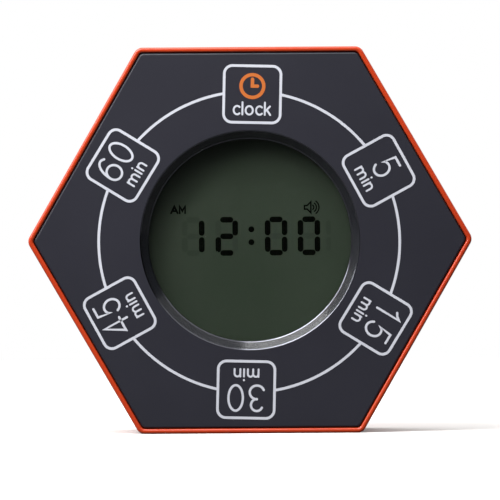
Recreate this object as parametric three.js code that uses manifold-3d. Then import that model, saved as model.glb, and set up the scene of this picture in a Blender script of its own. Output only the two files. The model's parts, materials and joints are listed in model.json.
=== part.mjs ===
// A hexagonal kitchen timer with a round sunken display. It stands on any of its six flat sides, and
// the side that is uppermost sets it: to the clock, or to a countdown of 5, 15, 30, 45 or 60 minutes.
// A steel ball in a round race tells the circuit which side that is.
//
// The pieces are modelled looking at the timer's face: X across, Y up, Z out of the face, with Z = 0
// on the outside of the rear wall. The whole group is turned at the end, so that the timer stands on
// a flat side with its face towards -Y and +Z up. All sizes are in millimetres.

import * as THREE from 'three';
import { mergeVertices } from 'three/addons/utils/BufferGeometryUtils.js';
import Module from 'manifold-3d';

const wasm = await Module();
wasm.setup();

// Driving dimensions

const fit = 0.3; // between pieces that meet side by side
const touch = 0.1; // between faces that rest on each other

const housing = {
  acrossFlats: 90,
  depth: 34,
  cornerRadius: 2.2,
  sideWall: 2.2,
  rearWall: 2.2,
  rearRound: 1.6,
  rimRound: 0.45,
  rimWidth: 1.15,
};
const facePlate = { thickness: 2.4, sink: 0.2, gap: 0.2, skirtHeight: 3, skirtWall: 1.2, edgeRound: 0.3 };
const well = { throatRadius: 23.6, flare: 1.8, depth: 2.6, land: 0.5, mouthBreak: 0.35 };
const lens = { seatWidth: 1.4, thickness: 1.5, tapeThickness: 0.15, tapeWidth: 1 };
const collar = { wall: 1.9, overhang: 0.3 };
const display = {
  margin: 1.4, // glass beyond the window's throat, at each side
  ledge: 4.2, // the strip of front glass that carries the contacts, above and below the rear glass
  glass: 1.1,
  film: 0.2,
  filmInset: 0.3,
};
const holder = { wall: 2.4, front: 0.8, apertureMargin: 0.7 };
const zebra = { height: 3.5, width: 2.6, endGap: 3 };
const mainBoard = { thickness: 1.6, overhang: 3.5, edgeMargin: 1, bossRadius: 2.7, bossY: 20 };

const tower = { radius: 3.6, inset: 1.5, height: 16, wellRadius: 2.8, seat: 2.2 };
const bossRadius = 3.2; // the face plate's bosses, which meet the rear case's towers
const caseScrew = { headRadius: 2.4, headHeight: 1.7, shankRadius: 1.25, length: 8, segments: 12 };
const boardScrew = { headRadius: 1.9, headHeight: 1.3, shankRadius: 0.9, length: 6.5, segments: 8 };
const pilotClear = 0.15; // round a screw's shank in the boss that it cuts into

const cell = { length: 44.5, radius: 5.25, nubHeight: 0.9, nubRadius: 1.9, spacing: 0.5, clear: 0.4 };
const bay = { wall: 2.4, roof: 1.3, fromBottom: 10.95, gapToKeys: 1.95 };
const door = { thickness: 1.5, sink: 0.15, lap: 1.6 };
const tongue = { width: 6, reach: 1.8, thickness: 0.9, swing: 3.2 };
const contact = { plate: 0.4, width: 8.4, springLength: 3.8, dimple: 0.8, wire: 0.32, turns: 3.25, tab: 2.4 };

const keys = { pitch: 12, firstX: -4, names: ['minute', 'hour', 'set'] };
const keyBoard = { beyondBoss: 3, height: 16, thickness: 1.2 };
const keyBoss = { radius: 2.2, fromKey: 2, fromKnob: 1.9, rise: 5.4 };
const button = { radius: 3.4, flange: 1.1, flangeThick: 1, stemRadius: 1.5, stem: 0.4, play: 0.3 };
const keyRecess = { depth: 0.8, radius: 2.4, margin: 2 };
const keySwitch = { size: 6, height: 3.5, plungerRadius: 1.7, plungerHeight: 0.9, inside: 0.6 };
const slider = {
  fromKey: 0.9, // the knob's flange to the nearest button's, when the knob is at that end
  travel: 2, // each way from the middle
  body: [8.6, 4.4, 3.5],
  leverSize: 2,
  leverHeight: 1.8,
  thumb: [4, 3.2],
  flangeHeight: 5,
  flangeThick: 1.4,
};

const buzzer = { aboveKeys: 21, radius: 10, plate: 0.25, chamber: 1.8, wall: 1.3 };
const buzzerCeramic = { radius: 7.4, thickness: 0.25 };
const slots = { count: 5, pitch: 3.2, width: 1.4, circle: 8.2 };
const tilt = {
  y: 22,
  fromBoss: 11.5, // centre to the face plate's nearest board boss, along X
  ballRadius: 2,
  play: 0.1, // between the ball and the contact pins
  postRadius: 1,
  pinRadius: 0.35,
  pinWall: 1,
  base: 1,
  cover: 1,
};
const chip = { x: 3, aboveKeys: 1 }; // kept below the ribbon's end, which is level with the keys
const wireRadius = 0.6;
const ribbon = { width: 7.6, halfThick: 0.45, bulge: 4, x: -1 };

// Levels along Z, from the rim to the main board

const halfFlats = housing.acrossFlats / 2;
const cavityHalf = halfFlats - housing.sideWall;
const plateFront = housing.depth - facePlate.sink;
const plateBack = plateFront - facePlate.thickness;
const lensSeat = plateFront - well.depth - well.land;
const tapeBack = lensSeat - touch - lens.tapeThickness;
const lensFront = tapeBack - touch;
const lensBack = lensFront - lens.thickness;
const collarEnd = lensBack - collar.overhang;
const holderFront = collarEnd - touch;
const polarizerFront = holderFront - holder.front - touch;
const frontGlassFront = polarizerFront - display.film - touch;
const rearGlassFront = frontGlassFront - display.glass - touch;
const reflectorFront = rearGlassFront - display.glass - touch;
const boardFront = frontGlassFront - display.glass - touch - zebra.height - touch;
const boardBack = boardFront - mainBoard.thickness;

// Places across the face

const lensRadius = well.throatRadius + lens.seatWidth;
const glassHalfX = well.throatRadius + display.margin;
const glassHalfY = glassHalfX + display.ledge / 2;
const holderHalfX = glassHalfX + fit + holder.wall;
const holderHalfY = glassHalfY + fit + holder.wall;
const boardBossX = holderHalfX + fit + mainBoard.bossRadius + 0.8;
const boardHalfX = boardBossX + mainBoard.overhang;
const boardHalfY = holderHalfY + 0.5;
const towerCircle = (cavityHalf - tower.radius - tower.inset) / Math.cos(Math.PI / 6);

// The rear wall's fittings

const wellFloor = tower.height - tower.seat;
const doorBack = door.sink + door.thickness;
const doorLedge = doorBack + touch;
const cellPitch = 2 * cell.radius + cell.spacing;
const cellZ = doorBack + 0.5 + cell.radius;
const bayHalfY = cell.radius + cellPitch / 2 + cell.clear;
const contactRoom = 2 * (touch + contact.plate) + contact.springLength + contact.dimple + 4 * touch;
const bayHalfX = (cell.length + contactRoom) / 2;
const bayTop = cellZ + cell.radius + fit + bay.roof;
const bayY = -halfFlats + bay.fromBottom + bay.wall + bayHalfY;
const keysY = bayY + bayHalfY + bay.wall + bay.gapToKeys + keyBoard.height / 2;
const buzzerY = keysY + buzzer.aboveKeys;
const doorHalfX = bayHalfX + door.lap;
const doorHalfY = bayHalfY + door.lap - fit;
const hingeY = bayY + doorHalfY;
const tongueX = bayHalfX / 2;
const tongueZ = housing.rearWall + fit;

const flangeZ = housing.rearWall + touch;
const plungerTip = flangeZ + button.flangeThick + button.stem + button.play;
const switchBack = plungerTip + keySwitch.plungerHeight;
const keyBoardBack = switchBack + keySwitch.height + touch;
const keyBoardFront = keyBoardBack + keyBoard.thickness;
const keyBossY = keysY + keyBoss.rise;
const keySpots = keys.names.map((name, i) => ({ name, x: keys.firstX + i * keys.pitch }));
const lastKeyX = keySpots[keySpots.length - 1].x;
const flangeRadius = button.radius + button.flange;
const knobFlangeX = slider.thumb[0] / 2 + 2 * slider.travel + 2 * fit;
const sliderX = keys.firstX - flangeRadius - slider.fromKey - slider.travel - knobFlangeX;
const keyBossXs = [sliderX - knobFlangeX - keyBoss.fromKnob, lastKeyX + flangeRadius + keyBoss.fromKey];

const shelfZ = housing.rearWall + buzzer.chamber;
const buzzerBore = buzzer.radius + fit;
const pinCircle = 2 * tilt.ballRadius + tilt.postRadius + 2 * fit - 0.2 + tilt.pinRadius;
const ballCircle = pinCircle - tilt.pinRadius - tilt.play - tilt.ballRadius;
const tiltX = -(boardBossX - tilt.fromBoss);
const tiltOuter = pinCircle + tilt.pinWall;
const baseBack = boardBack - touch - tilt.base;
const raceDepth = 2 * (tilt.ballRadius + 0.15);

// Materials

const finish = (color, roughness, metalness = 0, more = {}) =>
  new THREE.MeshStandardMaterial({ color, roughness, metalness, ...more });
const orangePlastic = finish(0xe2481f, 0.35);
const charcoalPlastic = finish(0x3a3b43, 0.45);
const blackPlastic = finish(0x17181a, 0.5);
const whitePlastic = finish(0xd9d9d4, 0.5);
const clearPlastic = finish(0xf2f6f4, 0.05, 0, { transparent: true, opacity: 0.3 });
const glass = finish(0xcfd8cf, 0.05, 0, { transparent: true, opacity: 0.4 });
const displayFilm = finish(0x39452f, 0.3);
const silverFilm = finish(0x8f978a, 0.3, 0.4);
const rubber = finish(0x232323, 0.8);
const boardGreen = finish(0x1f6b3a, 0.45);
const epoxy = finish(0x0c0c0d, 0.3);
const steel = finish(0xb9bcc0, 0.3, 1);
const nickel = finish(0xc9c6bd, 0.25, 1);
const brass = finish(0xc9a24a, 0.3, 1);
const ceramic = finish(0xe9e4d6, 0.6);
const cellJacket = finish(0x2b6a63, 0.35, 0.3);
const tape = finish(0x101010, 0.9);
const redWire = finish(0xb0201c, 0.5);
const blackWire = finish(0x1b1b1b, 0.5);
const greyWire = finish(0x9b9ca0, 0.55);

// Solids

// A closed three.js geometry as a solid that can be joined to others and cut by them.
function solid(geometry) {
  const bare = geometry.index ? geometry.toNonIndexed() : geometry.clone();
  bare.deleteAttribute('normal');
  bare.deleteAttribute('uv');
  const merged = mergeVertices(bare, 1e-4);
  const vertProperties = new Float32Array(merged.attributes.position.array);
  const triVerts = new Uint32Array(merged.index.array);
  return new wasm.Manifold(new wasm.Mesh({ numProp: 3, vertProperties, triVerts }));
}

function join(...solids) {
  return solids.reduce((whole, next) => whole.add(next));
}

function cut(body, ...tools) {
  return tools.reduce((left, tool) => left.subtract(tool), body);
}

function piece(name, body, material) {
  const { vertProperties, triVerts } = body.getMesh();
  const geometry = new THREE.BufferGeometry();
  geometry.setAttribute('position', new THREE.BufferAttribute(new Float32Array(vertProperties), 3));
  geometry.setIndex(new THREE.BufferAttribute(new Uint32Array(triVerts), 1));
  const flat = geometry.toNonIndexed();
  flat.computeVertexNormals();
  const mesh = new THREE.Mesh(flat, material);
  mesh.name = name;
  return mesh;
}

function box(x0, x1, y0, y1, z0, z1) {
  const geometry = new THREE.BoxGeometry(x1 - x0, y1 - y0, z1 - z0);
  return solid(geometry.translate((x0 + x1) / 2, (y0 + y1) / 2, (z0 + z1) / 2));
}

function cylinder(radius, z0, z1, x = 0, y = 0, segments = 24) {
  const geometry = new THREE.CylinderGeometry(radius, radius, z1 - z0, segments);
  return solid(geometry.rotateX(Math.PI / 2).translate(x, y, (z0 + z1) / 2));
}

// A solid of revolution round the Z axis, from [radius, z] points that close on the axis or on the
// first point. The points may run either way round.
function turned(points, segments = 24) {
  let area = 0;
  points.forEach(([r, z], i) => {
    const [nextR, nextZ] = points[(i + 1) % points.length];
    area += r * nextZ - nextR * z;
  });
  const ordered = area > 0 ? points : [...points].reverse();
  const outline = ordered.map(([r, z]) => new THREE.Vector2(r, z));
  return solid(new THREE.LatheGeometry(outline, segments).rotateX(Math.PI / 2));
}

function extruded(shape, z0, z1, round = 0, curveSegments = 4) {
  const options = {
    depth: z1 - z0 - 2 * round,
    bevelEnabled: round > 0,
    bevelThickness: round,
    bevelSize: round,
    bevelOffset: -round,
    bevelSegments: 3,
    curveSegments,
  };
  return solid(new THREE.ExtrudeGeometry(shape, options).translate(0, 0, z0 + round));
}

// A hexagon with flat sides at the top and bottom and rounded corners.
function hexagon(halfAcross, radius) {
  const shape = new THREE.Shape();
  const centre = (halfAcross - radius) / Math.cos(Math.PI / 6);
  for (let corner = 0; corner < 6; corner += 1) {
    const angle = (corner * Math.PI) / 3;
    const x = centre * Math.cos(angle);
    const y = centre * Math.sin(angle);
    shape.absarc(x, y, radius, angle - Math.PI / 6, angle + Math.PI / 6, false);
  }
  return shape;
}

function roundedRectangle(halfX, halfY, radius, x = 0, y = 0) {
  const shape = new THREE.Shape();
  signs.forEach(([signX, signY], i) => {
    const start = (i * Math.PI) / 2;
    const centreX = x + signX * (halfX - radius);
    const centreY = y + signY * (halfY - radius);
    shape.absarc(centreX, centreY, radius, start, start + Math.PI / 2, false);
  });
  return shape;
}

// A round wire or lead along a curve.
function strand(curve, radius, steps, sides = 8) {
  const section = new THREE.Shape().absarc(0, 0, radius, 0, 2 * Math.PI, false);
  const options = { steps, extrudePath: curve, curveSegments: sides, bevelEnabled: false };
  return solid(new THREE.ExtrudeGeometry(section, options));
}

function hexSpots(radius) {
  return Array.from({ length: 6 }, (_, i) => {
    const angle = (i * Math.PI) / 3;
    return [radius * Math.cos(angle), radius * Math.sin(angle)];
  });
}

const towerSpots = hexSpots(towerCircle);
const signs = [[1, 1], [-1, 1], [-1, -1], [1, -1]];
const boardSpots = signs.map(([signX, signY]) => [signX * boardBossX, signY * mainBoard.bossY]);

// Rear case: a hexagonal tub with a thin rim round the face plate

function hexShell() {
  const beyond = 5;
  const rearEnd = extruded(
    hexagon(halfFlats, housing.cornerRadius), 0, housing.depth + beyond, housing.rearRound,
  );
  const rimEnd = extruded(
    hexagon(halfFlats, housing.cornerRadius), -beyond, housing.depth, housing.rimRound,
  );
  const cavity = extruded(
    hexagon(cavityHalf, 1), housing.rearWall, housing.depth + beyond,
  );
  const platePocket = extruded(
    hexagon(halfFlats - housing.rimWidth, 1.2), plateBack - touch, housing.depth + beyond,
  );
  return cut(rearEnd.intersect(rimEnd), cavity, platePocket);
}

function bayWalls() {
  const outerX = bayHalfX + bay.wall;
  const outerY = bayHalfY + bay.wall;
  return box(-outerX, outerX, bayY - outerY, bayY + outerY, housing.rearWall - 0.4, bayTop);
}

function bayHollow() {
  const room = box(-bayHalfX, bayHalfX, bayY - bayHalfY, bayY + bayHalfY, -1, bayTop - bay.roof);
  const recess = extruded(
    roundedRectangle(doorHalfX + fit, doorHalfY + fit, 1.3, 0, bayY), -1, doorLedge,
  );
  const nailNotch = cylinder(5, -1, 1.2, 0, bayY - doorHalfY - 0.5);
  return join(room, recess, nailNotch);
}

// Windows in the bay's upper wall, which the door's tongues reach through, and gaps in the ledge
// under them, so that the tongues can swing.
function tongueSlots() {
  return [-tongueX, tongueX].flatMap((x) => {
    const half = tongue.width / 2 + fit;
    const inside = bayY + bayHalfY - 1;
    const outside = bayY + bayHalfY + bay.wall + 1;
    return [
      box(x - half, x + half, inside, outside, housing.rearWall, housing.rearWall + tongue.swing),
      box(x - half, x + half, inside, hingeY + fit, doorLedge - 1, housing.rearWall + 1),
    ];
  });
}

// Slits in the bay's roof for the solder tabs of the two outer contacts.
function tabSlits() {
  const x = -bayHalfX + touch + contact.plate / 2;
  const half = contact.tab / 2 + fit;
  return [-1, 1].map((side) => {
    const y = bayY + (side * cellPitch) / 2;
    return box(x - 0.6, x + 0.6, y - half, y + half, bayTop - bay.roof - 1, bayTop + 1);
  });
}

function speakerSlots() {
  const middle = (slots.count - 1) / 2;
  return Array.from({ length: slots.count }, (_, i) => {
    const offset = (i - middle) * slots.pitch;
    const half = Math.sqrt(slots.circle ** 2 - offset ** 2);
    const shape = roundedRectangle(half, slots.width / 2, slots.width / 2 - 0.01, 0, buzzerY + offset);
    return extruded(shape, -1, housing.rearWall + 1);
  });
}

function rearCase() {
  const buzzerWall = buzzerBore + buzzer.wall;
  const buzzerTop = shelfZ + buzzer.chamber + 0.7;
  const solids = [
    hexShell(),
    bayWalls(),
    cylinder(buzzerWall, housing.rearWall - 0.4, buzzerTop, 0, buzzerY, 28),
    ...towerSpots.map(([x, y]) => cylinder(tower.radius, housing.rearWall - 0.4, tower.height, x, y, 16)),
    ...keyBossXs.map((x) => cylinder(
      keyBoss.radius, housing.rearWall - 0.4, keyBoardBack - touch, x, keyBossY, 16,
    )),
  ];
  const recessLeft = sliderX - slider.thumb[0] / 2 - slider.travel - keyRecess.margin;
  const recessRight = lastKeyX + button.radius + keyRecess.margin;
  const recess = roundedRectangle(
    (recessRight - recessLeft) / 2, button.radius + keyRecess.margin, keyRecess.radius,
    (recessRight + recessLeft) / 2, keysY,
  );
  const thumbSlot = roundedRectangle(
    slider.thumb[0] / 2 + slider.travel + fit, slider.thumb[1] / 2 + fit, 0.6, sliderX, keysY,
  );
  const hollows = [
    bayHollow(),
    ...tongueSlots(),
    ...tabSlits(),
    cylinder(buzzerBore, shelfZ, buzzerTop + 1, 0, buzzerY, 28),
    cylinder(buzzer.radius - 0.9, housing.rearWall, shelfZ + 1, 0, buzzerY, 28),
    ...speakerSlots(),
    ...towerSpots.map(([x, y]) => cylinder(tower.wellRadius, -1, wellFloor, x, y, 16)),
    ...towerSpots.map(([x, y]) => cylinder(caseScrew.shankRadius + fit, 0, tower.height + 1, x, y, 12)),
    ...keyBossXs.map((x) => cylinder(
      boardScrew.shankRadius + pilotClear, housing.rearWall + 0.8, keyBoardBack + 1, x, keyBossY, 12,
    )),
    extruded(recess, -1, keyRecess.depth),
    extruded(thumbSlot, -1, housing.rearWall + 1),
    ...keySpots.map(({ x }) => cylinder(button.radius + fit, -1, housing.rearWall + 1, x, keysY, 20)),
  ];
  return piece('rear_case', cut(join(...solids), ...hollows), orangePlastic);
}

// Face plate: the charcoal front, with the window's flared well and all the bosses behind it

function frontPlate() {
  const half = halfFlats - housing.rimWidth - facePlate.gap;
  const slab = extruded(hexagon(half, 1.3), plateBack, plateFront + 1, facePlate.edgeRound)
    .intersect(extruded(hexagon(half, 1.3), plateBack - 1, plateFront, facePlate.edgeRound));
  const skirtHalf = cavityHalf - fit;
  const skirt = cut(
    extruded(hexagon(skirtHalf, 1), plateBack - facePlate.skirtHeight, plateBack + 0.4),
    extruded(
      hexagon(skirtHalf - facePlate.skirtWall, 0.8), plateBack - facePlate.skirtHeight - 1, plateBack + 0.2,
    ),
  );
  const collarRing = cylinder(lensRadius + fit + collar.wall, collarEnd, plateBack + 0.4, 0, 0, 48);
  const caseBosses = towerSpots.map(([x, y]) => cylinder(
    bossRadius, tower.height + touch, plateBack + 0.4, x, y, 14,
  ));
  const boardBosses = boardSpots.map(([x, y]) => cylinder(
    mainBoard.bossRadius, boardFront + touch, plateBack + 0.4, x, y, 12,
  ));
  const mouth = well.throatRadius + well.flare;
  const wellTool = turned([
    [0, collarEnd - 1],
    [well.throatRadius, collarEnd - 1],
    [well.throatRadius, plateFront - well.depth],
    [mouth - well.mouthBreak * 0.4, plateFront - well.mouthBreak],
    [mouth, plateFront],
    [mouth, plateFront + 2],
    [0, plateFront + 2],
  ], 48);
  const lensPocket = cylinder(lensRadius + fit, collarEnd - 1, lensSeat, 0, 0, 48);
  const casePilots = towerSpots.map(([x, y]) => cylinder(
    caseScrew.shankRadius + pilotClear, tower.height - 1, tower.height + caseScrew.length, x, y, 8,
  ));
  const boardPilots = boardSpots.map(([x, y]) => cylinder(
    boardScrew.shankRadius + pilotClear, boardFront - 1, boardFront + boardScrew.length, x, y, 8,
  ));
  const whole = join(slab, skirt, collarRing, ...caseBosses, ...boardBosses);
  const body = cut(whole, wellTool, lensPocket, ...casePilots, ...boardPilots);
  return piece('front_bezel', body, charcoalPlastic);
}

function windowLens() {
  return piece('window_lens', cylinder(lensRadius, lensBack, lensFront, 0, 0, 48), clearPlastic);
}

function lensTape() {
  const ring = cut(
    cylinder(lensRadius, tapeBack, lensSeat - touch, 0, 0, 48),
    cylinder(lensRadius - lens.tapeWidth, tapeBack - 1, lensSeat, 0, 0, 48),
  );
  return piece('lens_adhesive_ring', ring, tape);
}

// Display: two glass plates between films, held by a frame and joined to the board by rubber strips

function displayPieces() {
  const rearHalfY = glassHalfY - display.ledge;
  const plateOf = (halfX, halfY, front, thickness) => box(
    -halfX, halfX, -halfY, halfY, front - thickness, front,
  );
  const filmOver = (halfY, front) => plateOf(
    glassHalfX - display.filmInset, halfY - display.filmInset, front, display.film,
  );
  const frame = cut(
    extruded(roundedRectangle(holderHalfX, holderHalfY, 2), boardFront + touch, holderFront),
    box(
      -glassHalfX - fit, glassHalfX + fit, -glassHalfY - fit, glassHalfY + fit,
      boardFront - 1, holderFront - holder.front,
    ),
    cylinder(well.throatRadius + holder.apertureMargin, boardFront, holderFront + 1, 0, 0, 40),
  );
  const stripY = glassHalfY - display.ledge / 2 + 0.3;
  const stripHalf = glassHalfX - zebra.endGap;
  const strip = (sign) => {
    const low = sign * stripY - zebra.width / 2;
    const back = boardFront + touch;
    return box(-stripHalf, stripHalf, low, low + zebra.width, back, back + zebra.height);
  };
  return [
    piece('lcd_holder', frame, blackPlastic),
    piece('front_polarizer', filmOver(glassHalfY, polarizerFront), displayFilm),
    piece('lcd_front_glass', plateOf(glassHalfX, glassHalfY, frontGlassFront, display.glass), glass),
    piece('lcd_rear_glass', plateOf(glassHalfX, rearHalfY, rearGlassFront, display.glass), glass),
    piece('rear_reflector', filmOver(rearHalfY, reflectorFront), silverFilm),
    piece('zebra_strip_top', strip(1), rubber),
    piece('zebra_strip_bottom', strip(-1), rubber),
  ];
}

// Main board and what is soldered to its rear side

function circuitBoard() {
  const outline = extruded(roundedRectangle(boardHalfX, boardHalfY, 2), boardBack, boardFront);
  const inside = extruded(hexagon(cavityHalf - mainBoard.edgeMargin, 2), boardBack - 1, boardFront + 1);
  const holes = boardSpots.map(([x, y]) => cylinder(
    boardScrew.shankRadius + fit, boardBack - 1, boardFront + 1, x, y, 12,
  ));
  const pinHoles = hexSpots(pinCircle).map(([x, y]) => cylinder(
    tilt.pinRadius + fit, boardBack - 1, boardFront + 1, tiltX + x, tilt.y + y, 8,
  ));
  return piece('main_board', cut(outline.intersect(inside), ...holes, ...pinHoles), boardGreen);
}

function boardComponents() {
  const under = boardBack - touch;
  const blobProfile = [[0, under], [6.5, under], [6, under - 0.7], [4, under - 1.3], [0, under - 1.5]];
  const canProfile = [
    [0, 0], [2.5, 0], [2.5, -0.7], [2.25, -1], [2.5, -1.3], [2.5, -5], [2.1, -5.3], [0, -5.3],
  ];
  const drumProfile = [[0, 0], [3, 0], [3, -0.8], [2, -0.8], [2, -3.4], [3, -3.4], [3, -4.2], [0, -4.2]];
  const crystalCan = solid(new THREE.CylinderGeometry(1.5, 1.5, 6, 16).rotateZ(Math.PI / 2));
  const transistor = cut(
    cylinder(2.3, under - 3.4, under, 25, 6, 20),
    box(22, 28, 7.3, 10, under - 4, under + 1),
  );
  const place = (body, x, y, z) => body.translate([x, y, z]);
  return [
    piece('controller_blob', place(turned(blobProfile, 24), chip.x, keysY + chip.aboveKeys, 0), epoxy),
    piece('watch_crystal', place(crystalCan, 16, 10, under - 1.5), nickel),
    piece('smoothing_capacitor', place(turned(canProfile, 20), -16, 5, under), blackPlastic),
    piece('buzzer_coil', place(turned(drumProfile, 20), 17, 22, under), epoxy),
    piece('driver_transistor', transistor, epoxy),
  ];
}

// Tilt sensor: a ball rolls round a race and closes the two lowest of six contact pins

function tiltSensor() {
  const raceEnd = baseBack - raceDepth;
  const at = (body) => body.translate([tiltX, tilt.y, 0]);
  const pins = hexSpots(pinCircle).map(([x, y]) => cylinder(
    tilt.pinRadius, raceEnd + 0.2, boardFront - 0.3, x, y, 8,
  ));
  const base = join(
    cylinder(tiltOuter, baseBack, boardBack - touch, 0, 0, 28),
    cylinder(tilt.postRadius, raceEnd + 0.2, baseBack + 0.2, 0, 0, 12),
    ...pins,
  );
  const pinGrooves = hexSpots(pinCircle).map(([x, y]) => cylinder(
    tilt.pinRadius + 0.25, raceEnd, baseBack + 1, x, y, 8,
  ));
  const cover = cut(
    cylinder(tiltOuter, raceEnd - tilt.cover, baseBack - touch, 0, 0, 28),
    cylinder(pinCircle - 0.05, raceEnd, baseBack + 1, 0, 0, 28),
    ...pinGrooves,
  );
  const ball = solid(new THREE.SphereGeometry(tilt.ballRadius, 14, 10))
    .translate([tiltX, tilt.y - ballCircle, (baseBack + raceEnd) / 2]);
  return [
    piece('tilt_sensor_base', at(base), blackPlastic),
    piece('tilt_sensor_cover', at(cover), blackPlastic),
    piece('tilt_ball', ball, steel),
  ];
}

// Screws, each with a cross recess in its head, pointing along +Z from the underside of the head

function screw({ headRadius, headHeight, shankRadius, length, segments }) {
  const tip = shankRadius * 1.2;
  const body = turned([
    [0, -headHeight],
    [headRadius * 0.7, -headHeight],
    [headRadius, -headHeight * 0.55],
    [headRadius, 0],
    [shankRadius, 0],
    [shankRadius, length - tip],
    [0, length],
  ], segments);
  const arm = headRadius * 0.6;
  const slot = headRadius * 0.13;
  const bottom = -headHeight * 0.45;
  return cut(
    body,
    box(-arm, arm, -slot, slot, -headHeight - 1, bottom),
    box(-slot, slot, -arm, arm, -headHeight - 1, bottom),
  );
}

function screws() {
  const caseScrews = towerSpots.map(([x, y], i) => piece(
    `case_screw_${i + 1}`, screw(caseScrew).translate([x, y, wellFloor - touch]), steel,
  ));
  const boardScrews = boardSpots.map(([x, y], i) => piece(
    `board_screw_${i + 1}`, screw(boardScrew).translate([x, y, boardBack - touch]), steel,
  ));
  const keyScrews = keyBossXs.map((x, i) => piece(
    `key_board_screw_${i + 1}`,
    screw(boardScrew).rotate([180, 0, 0]).translate([x, keyBossY, keyBoardFront + touch]),
    steel,
  ));
  return [...caseScrews, ...boardScrews, ...keyScrews];
}

// Buttons, their switches and the small board that carries them

function keyBoardPiece() {
  const [left, right] = keyBossXs;
  const halfX = (right - left) / 2 + keyBoard.beyondBoss;
  const outline = roundedRectangle(halfX, keyBoard.height / 2, 1.5, (left + right) / 2, keysY);
  const slab = extruded(outline, keyBoardBack, keyBoardFront);
  const holes = keyBossXs.map((x) => cylinder(
    boardScrew.shankRadius + fit, keyBoardBack - 1, keyBoardFront + 1, x, keyBossY, 12,
  ));
  return piece('key_board', cut(slab, ...holes), boardGreen);
}

function keyPieces() {
  const dome = 0.2;
  return keySpots.flatMap(({ name, x }) => {
    const cap = turned([
      [0, dome],
      [button.radius * 0.6, dome + 0.08],
      [button.radius, dome + 0.4],
      [button.radius, flangeZ],
      [flangeRadius, flangeZ],
      [flangeRadius, flangeZ + button.flangeThick],
      [button.stemRadius, flangeZ + button.flangeThick],
      [button.stemRadius, plungerTip - button.play],
      [0, plungerTip - button.play],
    ], 20).translate([x, keysY, 0]);
    const half = keySwitch.size / 2;
    const well = keySwitch.inside + touch;
    const body = cut(
      extruded(roundedRectangle(half, half, 0.6, x, keysY), switchBack, keyBoardBack - touch, 0, 2),
      cylinder(keySwitch.plungerRadius + 0.2, switchBack - 1, switchBack + well + 0.4, x, keysY, 16),
    );
    const plunger = cylinder(
      keySwitch.plungerRadius, plungerTip, switchBack + keySwitch.inside - 0.1, x, keysY, 16,
    );
    return [
      piece(`${name}_button`, cap, charcoalPlastic),
      piece(`${name}_switch`, body, nickel),
      piece(`${name}_plunger`, plunger, blackPlastic),
    ];
  });
}

function volumeSlider() {
  const [length, width, height] = slider.body;
  const x = sliderX;
  const half = slider.leverSize / 2;
  const bodyBack = keyBoardBack - touch - height;
  const leverTip = bodyBack - slider.leverHeight;
  const body = cut(
    box(
      x - length / 2, x + length / 2, keysY - width / 2, keysY + width / 2, bodyBack, keyBoardBack - touch,
    ),
    box(
      x - half - slider.travel - fit, x + half + slider.travel + fit,
      keysY - half - 0.2, keysY + half + 0.2, bodyBack - 1, bodyBack + 1.2,
    ),
  );
  const lever = box(x - half, x + half, keysY - half, keysY + half, leverTip, bodyBack + 0.9);
  const [thumbX, thumbY] = slider.thumb;
  const thumb = box(
    x - thumbX / 2, x + thumbX / 2, keysY - thumbY / 2, keysY + thumbY / 2, 0.2, flangeZ + 0.2,
  );
  const grooves = [-1, 0, 1].map((i) => box(
    x + i * 1.2 - 0.25, x + i * 1.2 + 0.25, keysY - thumbY, keysY + thumbY, 0, 0.5,
  ));
  const flange = box(
    x - knobFlangeX, x + knobFlangeX, keysY - slider.flangeHeight / 2, keysY + slider.flangeHeight / 2,
    flangeZ, flangeZ + slider.flangeThick,
  );
  const socket = box(
    x - half - fit, x + half + fit, keysY - half - fit, keysY + half + fit,
    leverTip - fit, flangeZ + slider.flangeThick + 1,
  );
  return [
    piece('volume_switch', body, nickel),
    piece('volume_lever', lever, blackPlastic),
    piece('volume_knob', cut(join(thumb, flange), socket, ...grooves), charcoalPlastic),
  ];
}

// Buzzer: a ceramic disc on a brass one, over the chamber behind the speaker slots

function buzzerPieces() {
  const plateTop = shelfZ + touch + buzzer.plate;
  const ceramicTop = plateTop + touch + buzzerCeramic.thickness;
  return [
    piece('buzzer_plate', cylinder(buzzer.radius, shelfZ + touch, plateTop, 0, buzzerY, 28), brass),
    piece(
      'buzzer_ceramic', cylinder(buzzerCeramic.radius, plateTop + touch, ceramicTop, 0, buzzerY), ceramic,
    ),
  ];
}

// Battery bay: two cells side by side, head to tail, with their contacts and the door over them

// A cell lying along X with its nub towards +X and its flat end at X = 0.
function cellSolid() {
  const shoulder = cell.length - cell.nubHeight;
  const r = cell.radius;
  return turned([
    [0, 0.15], [r * 0.62, 0.15], [r * 0.68, 0], [r - 0.5, 0], [r, 0.35],
    [r, shoulder - 0.5], [r - 0.5, shoulder - 0.1], [r - 1, shoulder - 0.1], [r - 1.2, shoulder - 0.4],
    [cell.nubRadius, shoulder - 0.4], [cell.nubRadius, cell.length - 0.3],
    [cell.nubRadius - 0.3, cell.length], [0, cell.length],
  ], 20).rotate([0, 90, 0]);
}

class CoilCurve extends THREE.Curve {
  // A conical coil along X that starts flat against the plate at X = 0.
  getPoint(t) {
    const angle = 2 * Math.PI * contact.turns * t;
    const radius = THREE.MathUtils.lerp(cell.radius * 0.66, cell.radius * 0.42, t);
    const rise = contact.springLength - 2 * contact.wire;
    const x = contact.wire - 0.1 + rise * t ** 1.15;
    return new THREE.Vector3(x, radius * Math.cos(angle), radius * Math.sin(angle));
  }
}

const spring = () => strand(new CoilCurve(), contact.wire, 32, 2);
const dimple = () => turned([[0, -0.2], [3, -0.2], [1.9, contact.dimple], [0, contact.dimple]], 16)
  .rotate([0, 90, 0]);

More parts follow.
